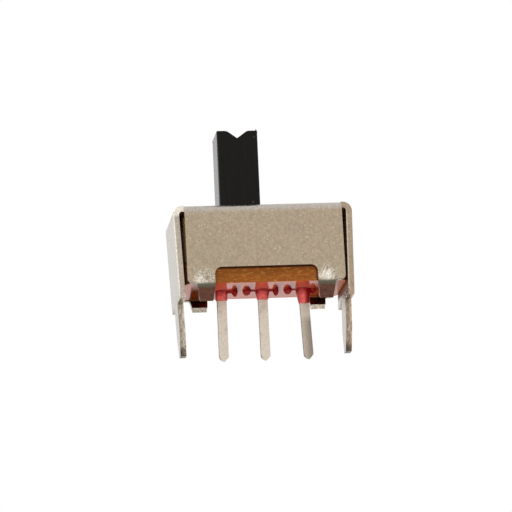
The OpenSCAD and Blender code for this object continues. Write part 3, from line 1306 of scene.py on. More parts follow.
def sheared_steel(look):
    """The sheet's cut edges: steel sheared by the punch and then plated.

    Shearing rolls one side of an edge over and tears the other, and a painted highlight lies along
    the rolled side. The right end plate is browner, and its painted highlights are weaker. The legs
    darken towards their tips, where the plating is thin, and are painted from dark to bright across
    their thickness as painted shade and highlight. The upper edges of the notches are painted dark
    brown, as painted shade and a painted reflection of the board.
    """
    material, tree, shader, place = new_material("sheared_plated_steel", Metallic=1)
    side, unused, height = add_node(tree, "SeparateXYZ", {"Vector": place}).outputs
    # The edge colour goes from lighter at the left end to browner at the right.
    colour = add_node(
        tree, "MapRange", {"Value": side, "From Min": -2, "From Max": 2}
    ).outputs["Result"]
    colour = add_node(
        tree, "Mix", {0: colour, 6: look.left_edge_colour, 7: look.right_edge_colour}, data_type="RGBA"
    ).outputs[2]
    # Distance in mm from the middle of an end plate's wall, below zero on its left.
    sign = add_node(tree, "Math", {0: side}, operation="SIGN").outputs[0]
    out = add_node(tree, "Math", {0: side}, operation="ABSOLUTE").outputs[0]
    lean = math.tan(look.plate_lean)
    middle_line = mm(look.plate_middle)
    out = add_node(
        tree, "Math", {0: height, 1: -lean, 2: out}, operation="MULTIPLY_ADD"
    ).outputs[0]
    out = add_node(tree, "Math", {0: out, 1: middle_line}, operation="SUBTRACT").outputs[0]
    depth = add_node(tree, "Math", {0: out, 1: sign}, operation="MULTIPLY").outputs[0]
    # Painted highlight along the rolled side of each edge, weaker towards the right.
    rolled = add_node(
        tree, "MapRange", {"Value": depth, "From Min": -0.07, "From Max": -0.12}
    ).outputs["Result"]
    highlight_falloff = add_node(
        tree,
        "MapRange",
        {"Value": side, "From Min": -1, "From Max": 1, "To Min": 1, "To Max": 0.4},
    ).outputs["Result"]
    rolled = add_node(tree, "Math", {0: rolled, 1: highlight_falloff}, operation="MULTIPLY").outputs[0]
    # Painted highlights on the skirts' edges too, and on the corner above the left end plate.
    skirt = add_node(
        tree, "MapRange", {"Value": out, "From Min": -0.18, "From Max": -0.22}
    ).outputs["Result"]
    above = add_node(
        tree, "MapRange", {"Value": height, "From Min": 0.8, "From Max": 1}
    ).outputs["Result"]
    skirt = add_node(tree, "Math", {0: skirt, 1: above}, operation="MULTIPLY").outputs[0]
    rolled = add_node(tree, "Math", {0: rolled, 1: skirt}, operation="MAXIMUM").outputs[0]
    corner = add_node(
        tree, "MapRange", {"Value": height, "From Min": 4.1, "From Max": 4.25}
    ).outputs["Result"]
    left = add_node(
        tree, "MapRange", {"Value": side, "From Min": 2, "From Max": -2, "To Max": 0.75}
    ).outputs["Result"]
    rolled = add_node(
        tree, "Mix", {0: corner, 2: rolled, 3: left}, data_type="FLOAT"
    ).outputs[0]
    leg = add_node(
        tree, "MapRange", {"Value": height, "From Min": 0.5, "From Max": 0}
    ).outputs["Result"]
    on_plate = add_node(
        tree, "MapRange", {"Value": out, "From Min": -0.4, "From Max": -0.3}
    ).outputs["Result"]
    leg = add_node(tree, "Math", {0: leg, 1: on_plate}, operation="MULTIPLY").outputs[0]
    strip = add_node(tree, "Math", {0: 1, 1: leg}, operation="SUBTRACT").outputs[0]
    rolled = add_node(tree, "Math", {0: rolled, 1: strip}, operation="MULTIPLY").outputs[0]
    colour = add_node(
        tree, "Mix", {0: rolled, 6: colour, 7: look.highlight_colour}, data_type="RGBA"
    ).outputs[2]
    # The notches' upper edges, found by their place along the frame and their height, are painted
    # dark brown as painted shade and a painted reflection of the board.
    notch = add_node(
        tree, "MapRange", {"Value": out, "From Min": -1.58, "From Max": -1.62}
    ).outputs["Result"]
    for low, high in ((1.2, 1.4), (1.65, 1.6)):
        level = add_node(
            tree, "MapRange", {"Value": height, "From Min": low, "From Max": high}
        ).outputs["Result"]
        notch = add_node(tree, "Math", {0: notch, 1: level}, operation="MULTIPLY").outputs[0]
    colour = add_node(
        tree, "Mix", {0: notch, 6: colour, 7: look.notch_shade_colour}, data_type="RGBA"
    ).outputs[2]
    # Painted shade and highlight: the legs go from dark to bright across their thickness.
    shade = add_node(
        tree,
        "MapRange",
        {"Value": depth, "From Min": -0.12, "From Max": 0.12, "To Min": 0.72, "To Max": 1.3},
    ).outputs["Result"]
    shade = add_node(tree, "Mix", {0: leg, 2: 1, 3: shade}, data_type="FLOAT").outputs[0]
    tip = add_node(
        tree, "MapRange", {"Value": height, "From Min": -1.8, "From Max": -2.2, "To Max": 0.85}
    ).outputs["Result"]
    colour = add_node(
        tree, "Mix", {0: tip, 6: colour, 7: look.tip_and_shadow_colour}, data_type="RGBA"
    ).outputs[2]
    colour = add_node(
        tree, "VectorMath", {0: colour, "Scale": shade}, operation="SCALE"
    ).outputs[0]
    # Torn grains 0.08 mm across, drawn out along the legs and coarser there.
    torn = add_node(
        tree, "TexNoise", {"Vector": place, "Scale": 1 / 0.08, "Detail": 3, "Roughness": 0.75}
    ).outputs["Fac"]
    tone = add_node(
        tree,
        "MapRange",
        {"Value": torn, "From Min": 0.35, "From Max": 0.65, "To Min": 0.75, "To Max": 1.22},
    ).outputs["Result"]
    drawn = add_node(
        tree, "Mapping", {"Vector": place, "Scale": (10, 10, 3)}
    ).outputs["Vector"]
    drawn = add_node(
        tree, "TexNoise", {"Vector": drawn, "Scale": 1, "Detail": 4, "Roughness": 0.8}
    ).outputs["Fac"]
    drawn = add_node(
        tree,
        "MapRange",
        {"Value": drawn, "From Min": 0.38, "From Max": 0.62, "To Min": 0.5, "To Max": 1.4},
    ).outputs["Result"]
    below = add_node(
        tree, "MapRange", {"Value": height, "From Min": 0.8, "From Max": 0.3}
    ).outputs["Result"]
    drawn = add_node(tree, "Mix", {0: below, 2: 1, 3: drawn}, data_type="FLOAT").outputs[0]
    tone = add_node(tree, "Math", {0: tone, 1: drawn}, operation="MULTIPLY").outputs[0]
    colour = add_node(
        tree, "VectorMath", {0: colour, "Scale": tone}, operation="SCALE"
    ).outputs[0]
    tree.links.new(colour, shader.inputs["Base Color"])
    rough = add_node(
        tree, "MapRange", {"Value": torn, "To Min": 0.2, "To Max": 0.45}
    ).outputs["Result"]
    tree.links.new(rough, shader.inputs["Roughness"])
    bump = add_node(
        tree, "Bump", {"Height": torn, "Strength": 1, "Distance": 0.00001}
    ).outputs["Normal"]
    tree.links.new(bump, shader.inputs["Normal"])
    return material


def paper_laminate(look, pitch):
    """Phenolic paper laminate, pressed between polished plates and punched out.

    The faces are glossy brown resin. The punched edges show layers and torn, lighter fibres, and
    are painted dark as painted shade where the frame covers them. A film of lacquer lies over the
    underside, painted together with a painted reflection of the collars and drops, and the
    underside is painted dark as painted shade beside the feet.
    """
    material, tree, shader, place = new_material(
        "phenolic_paper_laminate", IOR=1.6, Specular_IOR_Level=0.17
    )
    # Layers about 0.15 mm thick.
    level = add_node(
        tree, "Mapping", {"Vector": place, "Scale": (0.5, 0.5, 6.5)}
    ).outputs["Vector"]
    layers = add_node(
        tree, "TexNoise", {"Vector": level, "Scale": 1, "Detail": 2}
    ).outputs["Fac"]
    tone = add_node(
        tree,
        "MapRange",
        {"Value": layers, "From Min": 0.3, "From Max": 0.7, "To Min": 0.75, "To Max": 1.25},
    ).outputs["Result"]
    colour = add_node(
        tree, "VectorMath", {0: look.laminate_colour, "Scale": tone}, operation="SCALE"
    ).outputs[0]
    # Torn fibres 0.3 mm long and 0.07 mm thick.
    flat = add_node(
        tree, "Mapping", {"Vector": place, "Scale": (3.3, 3.3, 14)}
    ).outputs["Vector"]
    fibres = add_node(
        tree, "TexNoise", {"Vector": flat, "Scale": 1, "Detail": 3, "Roughness": 0.65}
    ).outputs["Fac"]
    torn = add_node(
        tree,
        "MapRange",
        {"Value": fibres, "From Min": 0.54, "From Max": 0.7, "To Max": 0.65},
    ).outputs["Result"]
    colour = add_node(
        tree, "Mix", {0: torn, 6: colour, 7: look.fibre_colour}, data_type="RGBA"
    ).outputs[2]

    # The pressed faces are redder and glossy, and the punched edges are matte.
    facing = add_node(tree, "NewGeometry").outputs["Normal"]
    upright = add_node(tree, "SeparateXYZ", {"Vector": facing}).outputs["Z"]
    pressed = add_node(tree, "Math", {0: upright}, operation="ABSOLUTE").outputs[0]
    face = add_node(
        tree, "MapRange", {"Value": pressed, "From Min": 0.4, "From Max": 0.9}
    ).outputs["Result"]
    colour = add_node(
        tree, "Mix", {0: face, 6: colour, 7: look.face_colour}, data_type="RGBA"
    ).outputs[2]
    # Painted shade: the edges are painted dark beside the skirts' notches and above them.
    out, unused, height = add_node(tree, "SeparateXYZ", {"Vector": place}).outputs
    out = add_node(tree, "Math", {0: out}, operation="ABSOLUTE").outputs[0]
    covered = add_node(
        tree, "MapRange", {"Value": out, "From Min": 2.4, "From Max": 2.46}
    ).outputs["Result"]
    above = add_node(
        tree, "MapRange", {"Value": height, "From Min": 1.48, "From Max": 1.54}
    ).outputs["Result"]
    covered = add_node(tree, "Math", {0: covered, 1: above}, operation="MAXIMUM").outputs[0]
    edge = add_node(tree, "Math", {0: 1, 1: face}, operation="SUBTRACT").outputs[0]
    covered = add_node(tree, "Math", {0: covered, 1: edge}, operation="MULTIPLY").outputs[0]
    colour = add_node(
        tree, "Mix", {0: covered, 6: colour, 7: look.covered_shade_colour}, data_type="RGBA"
    ).outputs[2]
    # Lacquer was brushed forwards over the underside: a thin pink film in front of each pin, and
    # a red one in front of the drops between them, painted together with a painted reflection of
    # the collars and drops. The underside beside the feet is painted dark as painted shade.
    ragged = add_node(
        tree, "TexNoise", {"Vector": place, "Scale": 1 / 0.5, "Detail": 3, "Roughness": 0.6}
    ).outputs["Color"]
    ragged = add_node(
        tree, "VectorMath", {0: ragged, 1: (0.5, 0.5, 0.5)}, operation="SUBTRACT"
    ).outputs[0]
    ragged = add_node(
        tree, "VectorMath", {0: ragged, 1: (0.25, 1.2, 0), 2: place}, operation="MULTIPLY_ADD"
    ).outputs[0]
    side, depth, unused = add_node(tree, "SeparateXYZ", {"Vector": ragged}).outputs
    apart = add_node(tree, "Math", {0: side, 1: pitch / 2}, operation="PINGPONG").outputs[0]
    ahead = add_node(
        tree, "MapRange", {"Value": depth, "From Min": -1.9, "From Max": -0.7}
    ).outputs["Result"]
    behind = add_node(
        tree, "MapRange", {"Value": depth, "From Min": 0.7, "From Max": 0.4}
    ).outputs["Result"]
    under = add_node(
        tree, "MapRange", {"Value": upright, "From Min": -0.6, "From Max": -0.9}
    ).outputs["Result"]
    film = add_node(tree, "Math", {0: ahead, 1: behind}, operation="MULTIPLY").outputs[0]
    film = add_node(tree, "Math", {0: film, 1: under}, operation="MULTIPLY").outputs[0]
    # The film ends just past the outer pins, and 0.1 mm further at the right.
    off_row = add_node(tree, "Math", {0: side, 1: 0.1}, operation="SUBTRACT").outputs[0]
    off_row = add_node(tree, "Math", {0: off_row}, operation="ABSOLUTE").outputs[0]
    within = add_node(
        tree,
        "MapRange",
        {"Value": off_row, "From Min": 2.75, "From Max": 2.35},
        interpolation_type="SMOOTHSTEP",
    ).outputs["Result"]
    film = add_node(tree, "Math", {0: film, 1: within}, operation="MULTIPLY").outputs[0]
    wash = add_node(tree, "Math", {0: film, 1: 0.4}, operation="MULTIPLY").outputs[0]
    colour = add_node(
        tree, "Mix", {0: wash, 6: colour, 7: look.thin_film_and_reflection_colour}, data_type="RGBA"
    ).outputs[2]
    by_pin = add_node(
        tree, "MapRange", {"Value": apart, "From Min": 0.42, "From Max": 0.24}
    ).outputs["Result"]
    by_pin = add_node(tree, "Math", {0: by_pin, 1: film}, operation="MULTIPLY").outputs[0]
    colour = add_node(
        tree, "Mix", {0: by_pin, 6: colour, 7: look.thin_film_and_reflection_colour}, data_type="RGBA"
    ).outputs[2]
    by_drop = add_node(
        tree, "MapRange", {"Value": apart, "From Min": 0.42, "From Max": 0.62}
    ).outputs["Result"]
    clear = add_node(
        tree, "MapRange", {"Value": apart, "From Min": 0.96, "From Max": 0.8}
    ).outputs["Result"]
    by_drop = add_node(tree, "Math", {0: by_drop, 1: clear}, operation="MULTIPLY").outputs[0]
    by_drop = add_node(tree, "Math", {0: by_drop, 1: film}, operation="MULTIPLY").outputs[0]
    colour = add_node(
        tree, "Mix", {0: by_drop, 6: colour, 7: look.thick_film_and_reflection_colour}, data_type="RGBA"
    ).outputs[2]
    # Painted shade on the underside beside the feet.
    reach = add_node(tree, "Math", {0: side}, operation="ABSOLUTE").outputs[0]
    darkened = add_node(
        tree, "MapRange", {"Value": reach, "From Min": 2.8, "From Max": 3, "To Max": 0.75}
    ).outputs["Result"]
    ended = add_node(
        tree, "MapRange", {"Value": reach, "From Min": 3.58, "From Max": 3.42}
    ).outputs["Result"]
    darkened = add_node(tree, "Math", {0: darkened, 1: ended}, operation="MULTIPLY").outputs[0]
    darkened = add_node(tree, "Math", {0: darkened, 1: under}, operation="MULTIPLY").outputs[0]
    colour = add_node(
        tree, "Mix", {0: darkened, 6: colour, 7: look.beside_feet_shade_colour}, data_type="RGBA"
    ).outputs[2]
    tree.links.new(colour, shader.inputs["Base Color"])
    rough = add_node(
        tree,
        "MapRange",
        {"Value": pressed, "From Min": 0.4, "From Max": 0.9, "To Min": 0.55, "To Max": 0.12},
    ).outputs["Result"]
    tree.links.new(rough, shader.inputs["Roughness"])
    tear = add_node(
        tree,
        "MapRange",
        {"Value": pressed, "From Min": 0.4, "From Max": 0.9, "To Min": 1, "To Max": 0.03},
    ).outputs["Result"]
    bump = add_node(
        tree, "Bump", {"Height": fibres, "Strength": tear, "Distance": 0.000025}
    ).outputs["Normal"]
    tree.links.new(bump, shader.inputs["Normal"])
    return material


def tinned_brass(look):
    """Brass strip with a matte tin plating, stamped into terminals.

    Tin is pale and soft, so it is cloudy, with greyer patches and small handling marks.
    """
    material, tree, shader, place = new_material("tinned_brass", Metallic=1)
    cloud = add_node(
        tree, "TexNoise", {"Vector": place, "Scale": 1 / 0.9, "Detail": 3}
    ).outputs["Fac"]
    # The lower part of the right tail is tarnished, and the rest has a few grey clouds.
    along, unused, height = add_node(tree, "SeparateXYZ", {"Vector": place}).outputs
    right = add_node(
        tree, "MapRange", {"Value": along, "From Min": 1.6, "From Max": 2.2}
    ).outputs["Result"]
    low = add_node(
        tree,
        "MapRange",
        {"Value": height, "From Min": -0.45, "From Max": -0.85, "To Min": 0.25},
    ).outputs["Result"]
    dark = add_node(tree, "Math", {0: right, 1: low}, operation="MULTIPLY").outputs[0]
    grey = add_node(
        tree,
        "MapRange",
        {"Value": cloud, "From Min": 0.55, "From Max": 0.7, "To Max": 0.4},
    ).outputs["Result"]
    grey = add_node(
        tree, "Math", {0: dark, 1: 0.9, 2: grey}, operation="MULTIPLY_ADD"
    ).outputs[0]
    # The sheared sides are bare brass gone brown.
    facing = add_node(tree, "NewGeometry").outputs["Normal"]
    facing = add_node(tree, "SeparateXYZ", {"Vector": facing}).outputs["X"]
    facing = add_node(tree, "Math", {0: facing}, operation="ABSOLUTE").outputs[0]
    sheared = add_node(
        tree, "MapRange", {"Value": facing, "From Min": 0.5, "From Max": 0.9, "To Max": 0.9}
    ).outputs["Result"]
    grey = add_node(tree, "Math", {0: grey, 1: 1}, operation="MINIMUM").outputs[0]
    colour = add_node(
        tree,
        "Mix",
        {0: grey, 6: look.plating_colour, 7: look.tarnish_colour},
        data_type="RGBA",
    ).outputs[2]
    colour = add_node(
        tree, "Mix", {0: sheared, 6: colour, 7: look.side_colour}, data_type="RGBA"
    ).outputs[2]
    # Handling marks of 0.08 mm.
    marks = add_node(
        tree, "TexNoise", {"Vector": place, "Scale": 1 / 0.08, "Detail": 3, "Roughness": 0.7}
    ).outputs["Fac"]
    tone = add_node(
        tree,
        "MapRange",
        {"Value": marks, "From Min": 0.3, "From Max": 0.7, "To Min": 0.78, "To Max": 1.12},
    ).outputs["Result"]
    colour = add_node(
        tree, "VectorMath", {0: colour, "Scale": tone}, operation="SCALE"
    ).outputs[0]
    tree.links.new(colour, shader.inputs["Base Color"])
    rough = add_node(
        tree, "MapRange", {"Value": marks, "To Min": 0.3, "To Max": 0.5}
    ).outputs["Result"]
    tree.links.new(rough, shader.inputs["Roughness"])
    bump = add_node(
        tree, "Bump", {"Height": marks, "Strength": 1, "Distance": 0.000006}
    ).outputs["Normal"]
    tree.links.new(bump, shader.inputs["Normal"])
    return material


def sealing_epoxy(look, pitch):
    """Red one-part sealing epoxy, brushed on and cured.

    It is deep red where it is thick, in the drops and the run. Where it has crept down a pin it
    is thin, and the pale plating shows through it as pink. Each collar is painted lighter in its
    middle as a painted highlight, and darker at its left edge and on its right as painted shade.
    """
    material, tree, shader, place = new_material(
        "red_sealing_epoxy", Roughness=0.14, IOR=1.5, Specular_IOR_Level=0.16
    )
    side, unused, height = add_node(tree, "SeparateXYZ", {"Vector": place}).outputs
    # Place along the row from the nearest pin: each collar is painted darker on its right and at
    # its left edge, as painted shade.
    half = pitch / 2
    apart = add_node(tree, "Math", {0: side, 1: half, 2: -half}, operation="WRAP").outputs[0]
    from_left = add_node(
        tree,
        "MapRange",
        {"Value": apart, "From Min": -0.36, "From Max": -0.16, "To Min": 0.25},
        interpolation_type="SMOOTHSTEP",
    ).outputs["Result"]
    # The painted shade reaches further over the last collar's right than over the others'.
    last = add_node(tree, "Math", {0: side, 1: 1.4}, operation="GREATER_THAN").outputs[0]
    further = add_node(
        tree, "Math", {0: last, 1: 0.16, 2: apart}, operation="MULTIPLY_ADD"
    ).outputs[0]
    from_right = add_node(
        tree,
        "MapRange",
        {"Value": further, "From Min": 0.34, "From Max": 0.1},
        interpolation_type="SMOOTHSTEP",
    ).outputs["Result"]
    below = add_node(
        tree,
        "MapRange",
        {"Value": height, "From Min": 0.8, "From Max": 0.5, "To Min": 0.05},
    ).outputs["Result"]
    thin = add_node(tree, "Math", {0: from_left, 1: from_right}, operation="MULTIPLY").outputs[0]
    thin = add_node(tree, "Math", {0: thin, 1: below}, operation="MULTIPLY").outputs[0]
    # Thickness varies in waves of 0.15 mm.
    cloud = add_node(
        tree, "TexNoise", {"Vector": place, "Scale": 1 / 0.15, "Detail": 3, "Roughness": 0.6}
    ).outputs["Fac"]
    tone = add_node(
        tree,
        "MapRange",
        {"Value": cloud, "From Min": 0.35, "From Max": 0.65, "To Min": 0.7, "To Max": 1.25},
    ).outputs["Result"]
    colour = add_node(
        tree,
        "Mix",
        {0: thin, 6: look.lacquer_colour, 7: look.thin_and_lit_colour},
        data_type="RGBA",
    ).outputs[2]
    colour = add_node(
        tree, "VectorMath", {0: colour, "Scale": tone}, operation="SCALE"
    ).outputs[0]
    tree.links.new(colour, shader.inputs["Base Color"])
    bump = add_node(
        tree, "Bump", {"Height": cloud, "Strength": 1, "Distance": 0.00002}
    ).outputs["Normal"]
    tree.links.new(bump, shader.inputs["Normal"])
    return material


def black_acetal(look):
    """Black acetal, injection moulded in a fine-blasted mould.

    It is satin and even, with faint flow streaks up the handle and a few specks of dust.
    """
    material, tree, shader, place = new_material(
        "black_moulded_acetal", IOR=1.48, Specular_IOR_Level=0.138
    )
    # Flow streaks run the handle's length, 0.12 mm apart.
    upright = add_node(
        tree, "Mapping", {"Vector": place, "Scale": (8, 8, 0.6)}
    ).outputs["Vector"]
    streaks = add_node(
        tree, "TexNoise", {"Vector": upright, "Scale": 1, "Detail": 2}
    ).outputs["Fac"]
    tone = add_node(
        tree,
        "MapRange",
        {"Value": streaks, "From Min": 0.3, "From Max": 0.7, "To Min": 0.8, "To Max": 1.3},
    ).outputs["Result"]
    colour = add_node(
        tree, "VectorMath", {0: look.plastic_colour, "Scale": tone}, operation="SCALE"
    ).outputs[0]
    # Specks of dust 0.08 mm across, one in each cell of 0.6 mm. Few reach the surface.
    cells = add_node(tree, "TexVoronoi", {"Vector": place, "Scale": 1.6}).outputs["Distance"]
    dust = add_node(
        tree,
        "MapRange",
        {"Value": cells, "From Min": 0.09, "From Max": 0.04, "To Max": 0.5},
    ).outputs["Result"]
    colour = add_node(
        tree, "Mix", {0: dust, 6: colour, 7: look.dust_colour}, data_type="RGBA"
    ).outputs[2]
    # The body's sides carry a film of brown contact grease, which also dulls them.
    height = add_node(tree, "SeparateXYZ", {"Vector": place}).outputs["Z"]
    greased = add_node(
        tree, "MapRange", {"Value": height, "From Min": 4.15, "From Max": 4.05}
    ).outputs["Result"]
    colour = add_node(
        tree, "Mix", {0: greased, 6: colour, 7: look.grease_colour}, data_type="RGBA"
    ).outputs[2]
    tree.links.new(colour, shader.inputs["Base Color"])
    # The blasted mould's grain is 0.04 mm.
    grain = add_node(
        tree, "TexNoise", {"Vector": place, "Scale": 1 / 0.04, "Detail": 2}
    ).outputs["Fac"]
    rough = add_node(
        tree, "MapRange", {"Value": grain, "To Min": 0.12, "To Max": 0.2}
    ).outputs["Result"]
    rough = add_node(
        tree, "Mix", {0: greased, 2: rough, 3: 0.45}, data_type="FLOAT"
    ).outputs[0]
    tree.links.new(rough, shader.inputs["Roughness"])
    bump = add_node(
        tree, "Bump", {"Height": grain, "Strength": 1, "Distance": 0.000004}
    ).outputs["Normal"]
    tree.links.new(bump, shader.inputs["Normal"])
    return material


def silvered_bronze(look):
    """Phosphor bronze spring strip with a thin silver plating."""
    material, tree, shader, place = new_material("silvered_bronze", Metallic=1)
    # Rolling lines 0.04 mm apart run along the strip.
    rolled = add_node(
        tree, "Mapping", {"Vector": place, "Scale": (2, 25, 25)}
    ).outputs["Vector"]
    lines = add_node(
        tree, "TexNoise", {"Vector": rolled, "Scale": 1, "Detail": 2}
    ).outputs["Fac"]
    thin = add_node(
        tree,
        "MapRange",
        {"Value": lines, "From Min": 0.5, "From Max": 0.7, "To Max": 0.6},
    ).outputs["Result"]
    colour = add_node(
        tree,
        "Mix",
        {0: thin, 6: look.silver_colour, 7: look.bronze_colour},
        data_type="RGBA",
    ).outputs[2]
    tree.links.new(colour, shader.inputs["Base Color"])
    rough = add_node(
        tree, "MapRange", {"Value": lines, "To Min": 0.2, "To Max": 0.4}
    ).outputs["Result"]
    tree.links.new(rough, shader.inputs["Roughness"])
    return material


def pale_floor(look):
    """Matte painted floor, seen from above only.

    It fades into the white background, and metal and gloss mirror it as white.
    """
    material, tree, shader, place = new_material("matte_painted_floor", Roughness=0.9)
    grain = add_node(
        tree, "TexNoise", {"Vector": place, "Scale": 1 / 0.5, "Detail": 3}
    ).outputs["Fac"]
    tone = add_node(
        tree, "MapRange", {"Value": grain, "To Min": 0.98, "To Max": 1.02}
    ).outputs["Result"]
    colour = add_node(
        tree, "VectorMath", {0: look.floor_colour, "Scale": tone}, operation="SCALE"
    ).outputs[0]
    tree.links.new(colour, shader.inputs["Base Color"])
    away = add_node(tree, "VectorMath", {0: place}, operation="LENGTH").outputs["Value"]
    far = add_node(
        tree,
        "MapRange",
        {"Value": away, "From Min": 12, "From Max": 60},
        interpolation_type="SMOOTHSTEP",
    ).outputs["Result"]
    mirrored = add_node(tree, "LightPath").outputs["Is Glossy Ray"]
    far = add_node(tree, "Math", {0: far, 1: mirrored}, operation="MAXIMUM").outputs[0]
    white = add_node(tree, "Emission", {"Color": (1, 1, 1), "Strength": 1}).outputs[0]
    shown = add_node(tree, "MixShader", {0: far, 1: shader.outputs[0], 2: white}).outputs[0]
    clear = add_node(tree, "BsdfTransparent").outputs[0]
    below = add_node(tree, "NewGeometry").outputs["Backfacing"]
    surface = add_node(tree, "MixShader", {0: below, 1: shown, 2: clear}).outputs[0]
    tree.links.new(surface, tree.nodes["Material Output"].inputs["Surface"])
    return material


# ---------------------------------------------------------------- pieces


class SWITCH_OT_folded_frame(bpy.types.Operator):
    """Build the frame: a stamped sheet with rolled edges and tool marks at its clinched corners"""

    bl_idname = "slide_switch.folded_frame"
    bl_label = "Folded Frame"

    def execute(self, context):
        look = context.scene.slide_switch.frame
        sheet = merged_copy("frame", "folded_frame")
        soften(sheet, mm(look.edge_round))
        self.divide_corners(sheet, look)
        self.press_corners(sheet, look)
        finish_piece(
            sheet,
            "switch_frame",
            "frame",
            (plated_steel(look), sheared_steel(look)),
        )
        self.mark_sheared_edges(sheet, look)
        return {"FINISHED"}

    def divide_corners(self, sheet, look):
        """Divides the sheet finely round the four clinched corners."""
        centre, radius = mm(look.mark_place), mm(look.mark_radius)
        step = 0.06  # width of a division
        count = int(2 * radius / step)
        left, low = centre[0] - radius, centre[2] - radius

        def beside(face):
            place = face.calc_center_median()
            across = left - step < abs(place.x) < left + (count + 1) * step
            return across and abs(place.y) > 1.7 and place.z < low + (count + 1) * step

        with editing(sheet):
            for side in (-1, 1):
                for x in (left, left + count * step):
                    bisect(sheet, lambda face: True, (side * x, 0, 0), (1, 0, 0))
            for z in (low, low + count * step):
                bisect(sheet, lambda face: True, (0, 0, z), (0, 0, 1))
            for i in range(1, count):
                for side in (-1, 1):
                    bisect(sheet, beside, (side * (left + i * step), 0, 0), (1, 0, 0))
                bisect(sheet, beside, (0, 0, low + i * step), (0, 0, 1))

    def press_corners(self, sheet, look):
        """Presses the outer faces in where the clinching tool struck, and dents them."""
        centre, radius = Vector(mm(look.mark_place)), mm(look.mark_radius)
        group = sheet.vertex_groups.new(name="pressed")
        for vertex in sheet.data.vertices:
            place = Vector([abs(part) for part in vertex.co])
            outside = place.y > centre.y - 0.1
            share = max(0, 1 - (place - centre).length / radius) if outside else 0
            group.add([vertex.index], share * share * (3 - 2 * share), "REPLACE")
        modify(
            sheet,
            "DISPLACE",
            vertex_group="pressed",
            strength=-mm(look.mark_depth),
            mid_level=0,
        )
        dents = bpy.data.textures.new("clinch_dents", "CLOUDS")
        dents.noise_scale = 0.14
        dents.noise_depth = 2
        modify(
            sheet,
            "DISPLACE",
            vertex_group="pressed",
            texture=dents,
            texture_coords="LOCAL",
            strength=2 * mm(look.mark_grain),
            mid_level=0.5,
        )
        sheet.vertex_groups.clear()

    def mark_sheared_edges(self, sheet, look):
        """Gives the faces across the sheet's thickness their own finish."""
        corner = box_mm("frame")[1]
        plate_edge = corner.y - mm(look.plate_setback)
        plates_from = corner.x - 0.52  # just past the ends of the skirts

        def sheared(face):
            place, normal = face.calc_center_median() * PER_METRE, face.normal
            x, y, z = abs(place.x), abs(place.y), place.z
            if x > plates_from:
                upright = near(y, plate_edge, 0.05) and abs(normal.y) > 0.5
                leg = z < 0.5 and abs(normal.x) < 0.5
                return upright or leg
            foot_tip = z < 0.4 and normal.z < -0.7
            skirt = z < 1.7 and y > 1.3 and abs(normal.y) < 0.3
            return foot_tip or skirt

        with editing(sheet):
            pick(sheet, "faces", sheared)
            sheet.active_material_index = 1
            bpy.ops.object.material_slot_assign()


class SWITCH_OT_base_board(bpy.types.Operator):
    """Build the base board: punched paper laminate with a hole for each terminal"""

    bl_idname = "slide_switch.base_board"
    bl_label = "Base Board"

    def execute(self, context):
        look = context.scene.slide_switch.board
        pins = context.scene.slide_switch.pins
        fit = mm(look.hole_fit)
        low, high = box_mm("base_board")
        growth = Vector((mm(look.end_growth), 0, 0))
        board = block("laminate_board", low - growth, high + growth)
        with editing(board):
            pick(board, "edges", lambda edge: runs_along(edge, 2))
            bpy.ops.mesh.bevel(offset=mm(look.corner_radius), segments=5, affect="EDGES")
        half = mm(pins.tail_width) / 2 + fit
        for node in PIN_NODES:
            pin_low, pin_high = box_mm(node)
            x = (pin_low.x + pin_high.x) / 2
            corner = Vector((x - half, pin_low.y - fit, low.z - 1))
            other = Vector((x + half, pin_high.y + fit, high.z + 1))
            combine(board, block("hole", corner, other), "DIFFERENCE")
        soften(board, mm(look.edge_round))
        laminate = paper_laminate(look, mm(pins.pitch))
        finish_piece(board, "switch_frame", "base_board", (laminate,))
        return {"FINISHED"}


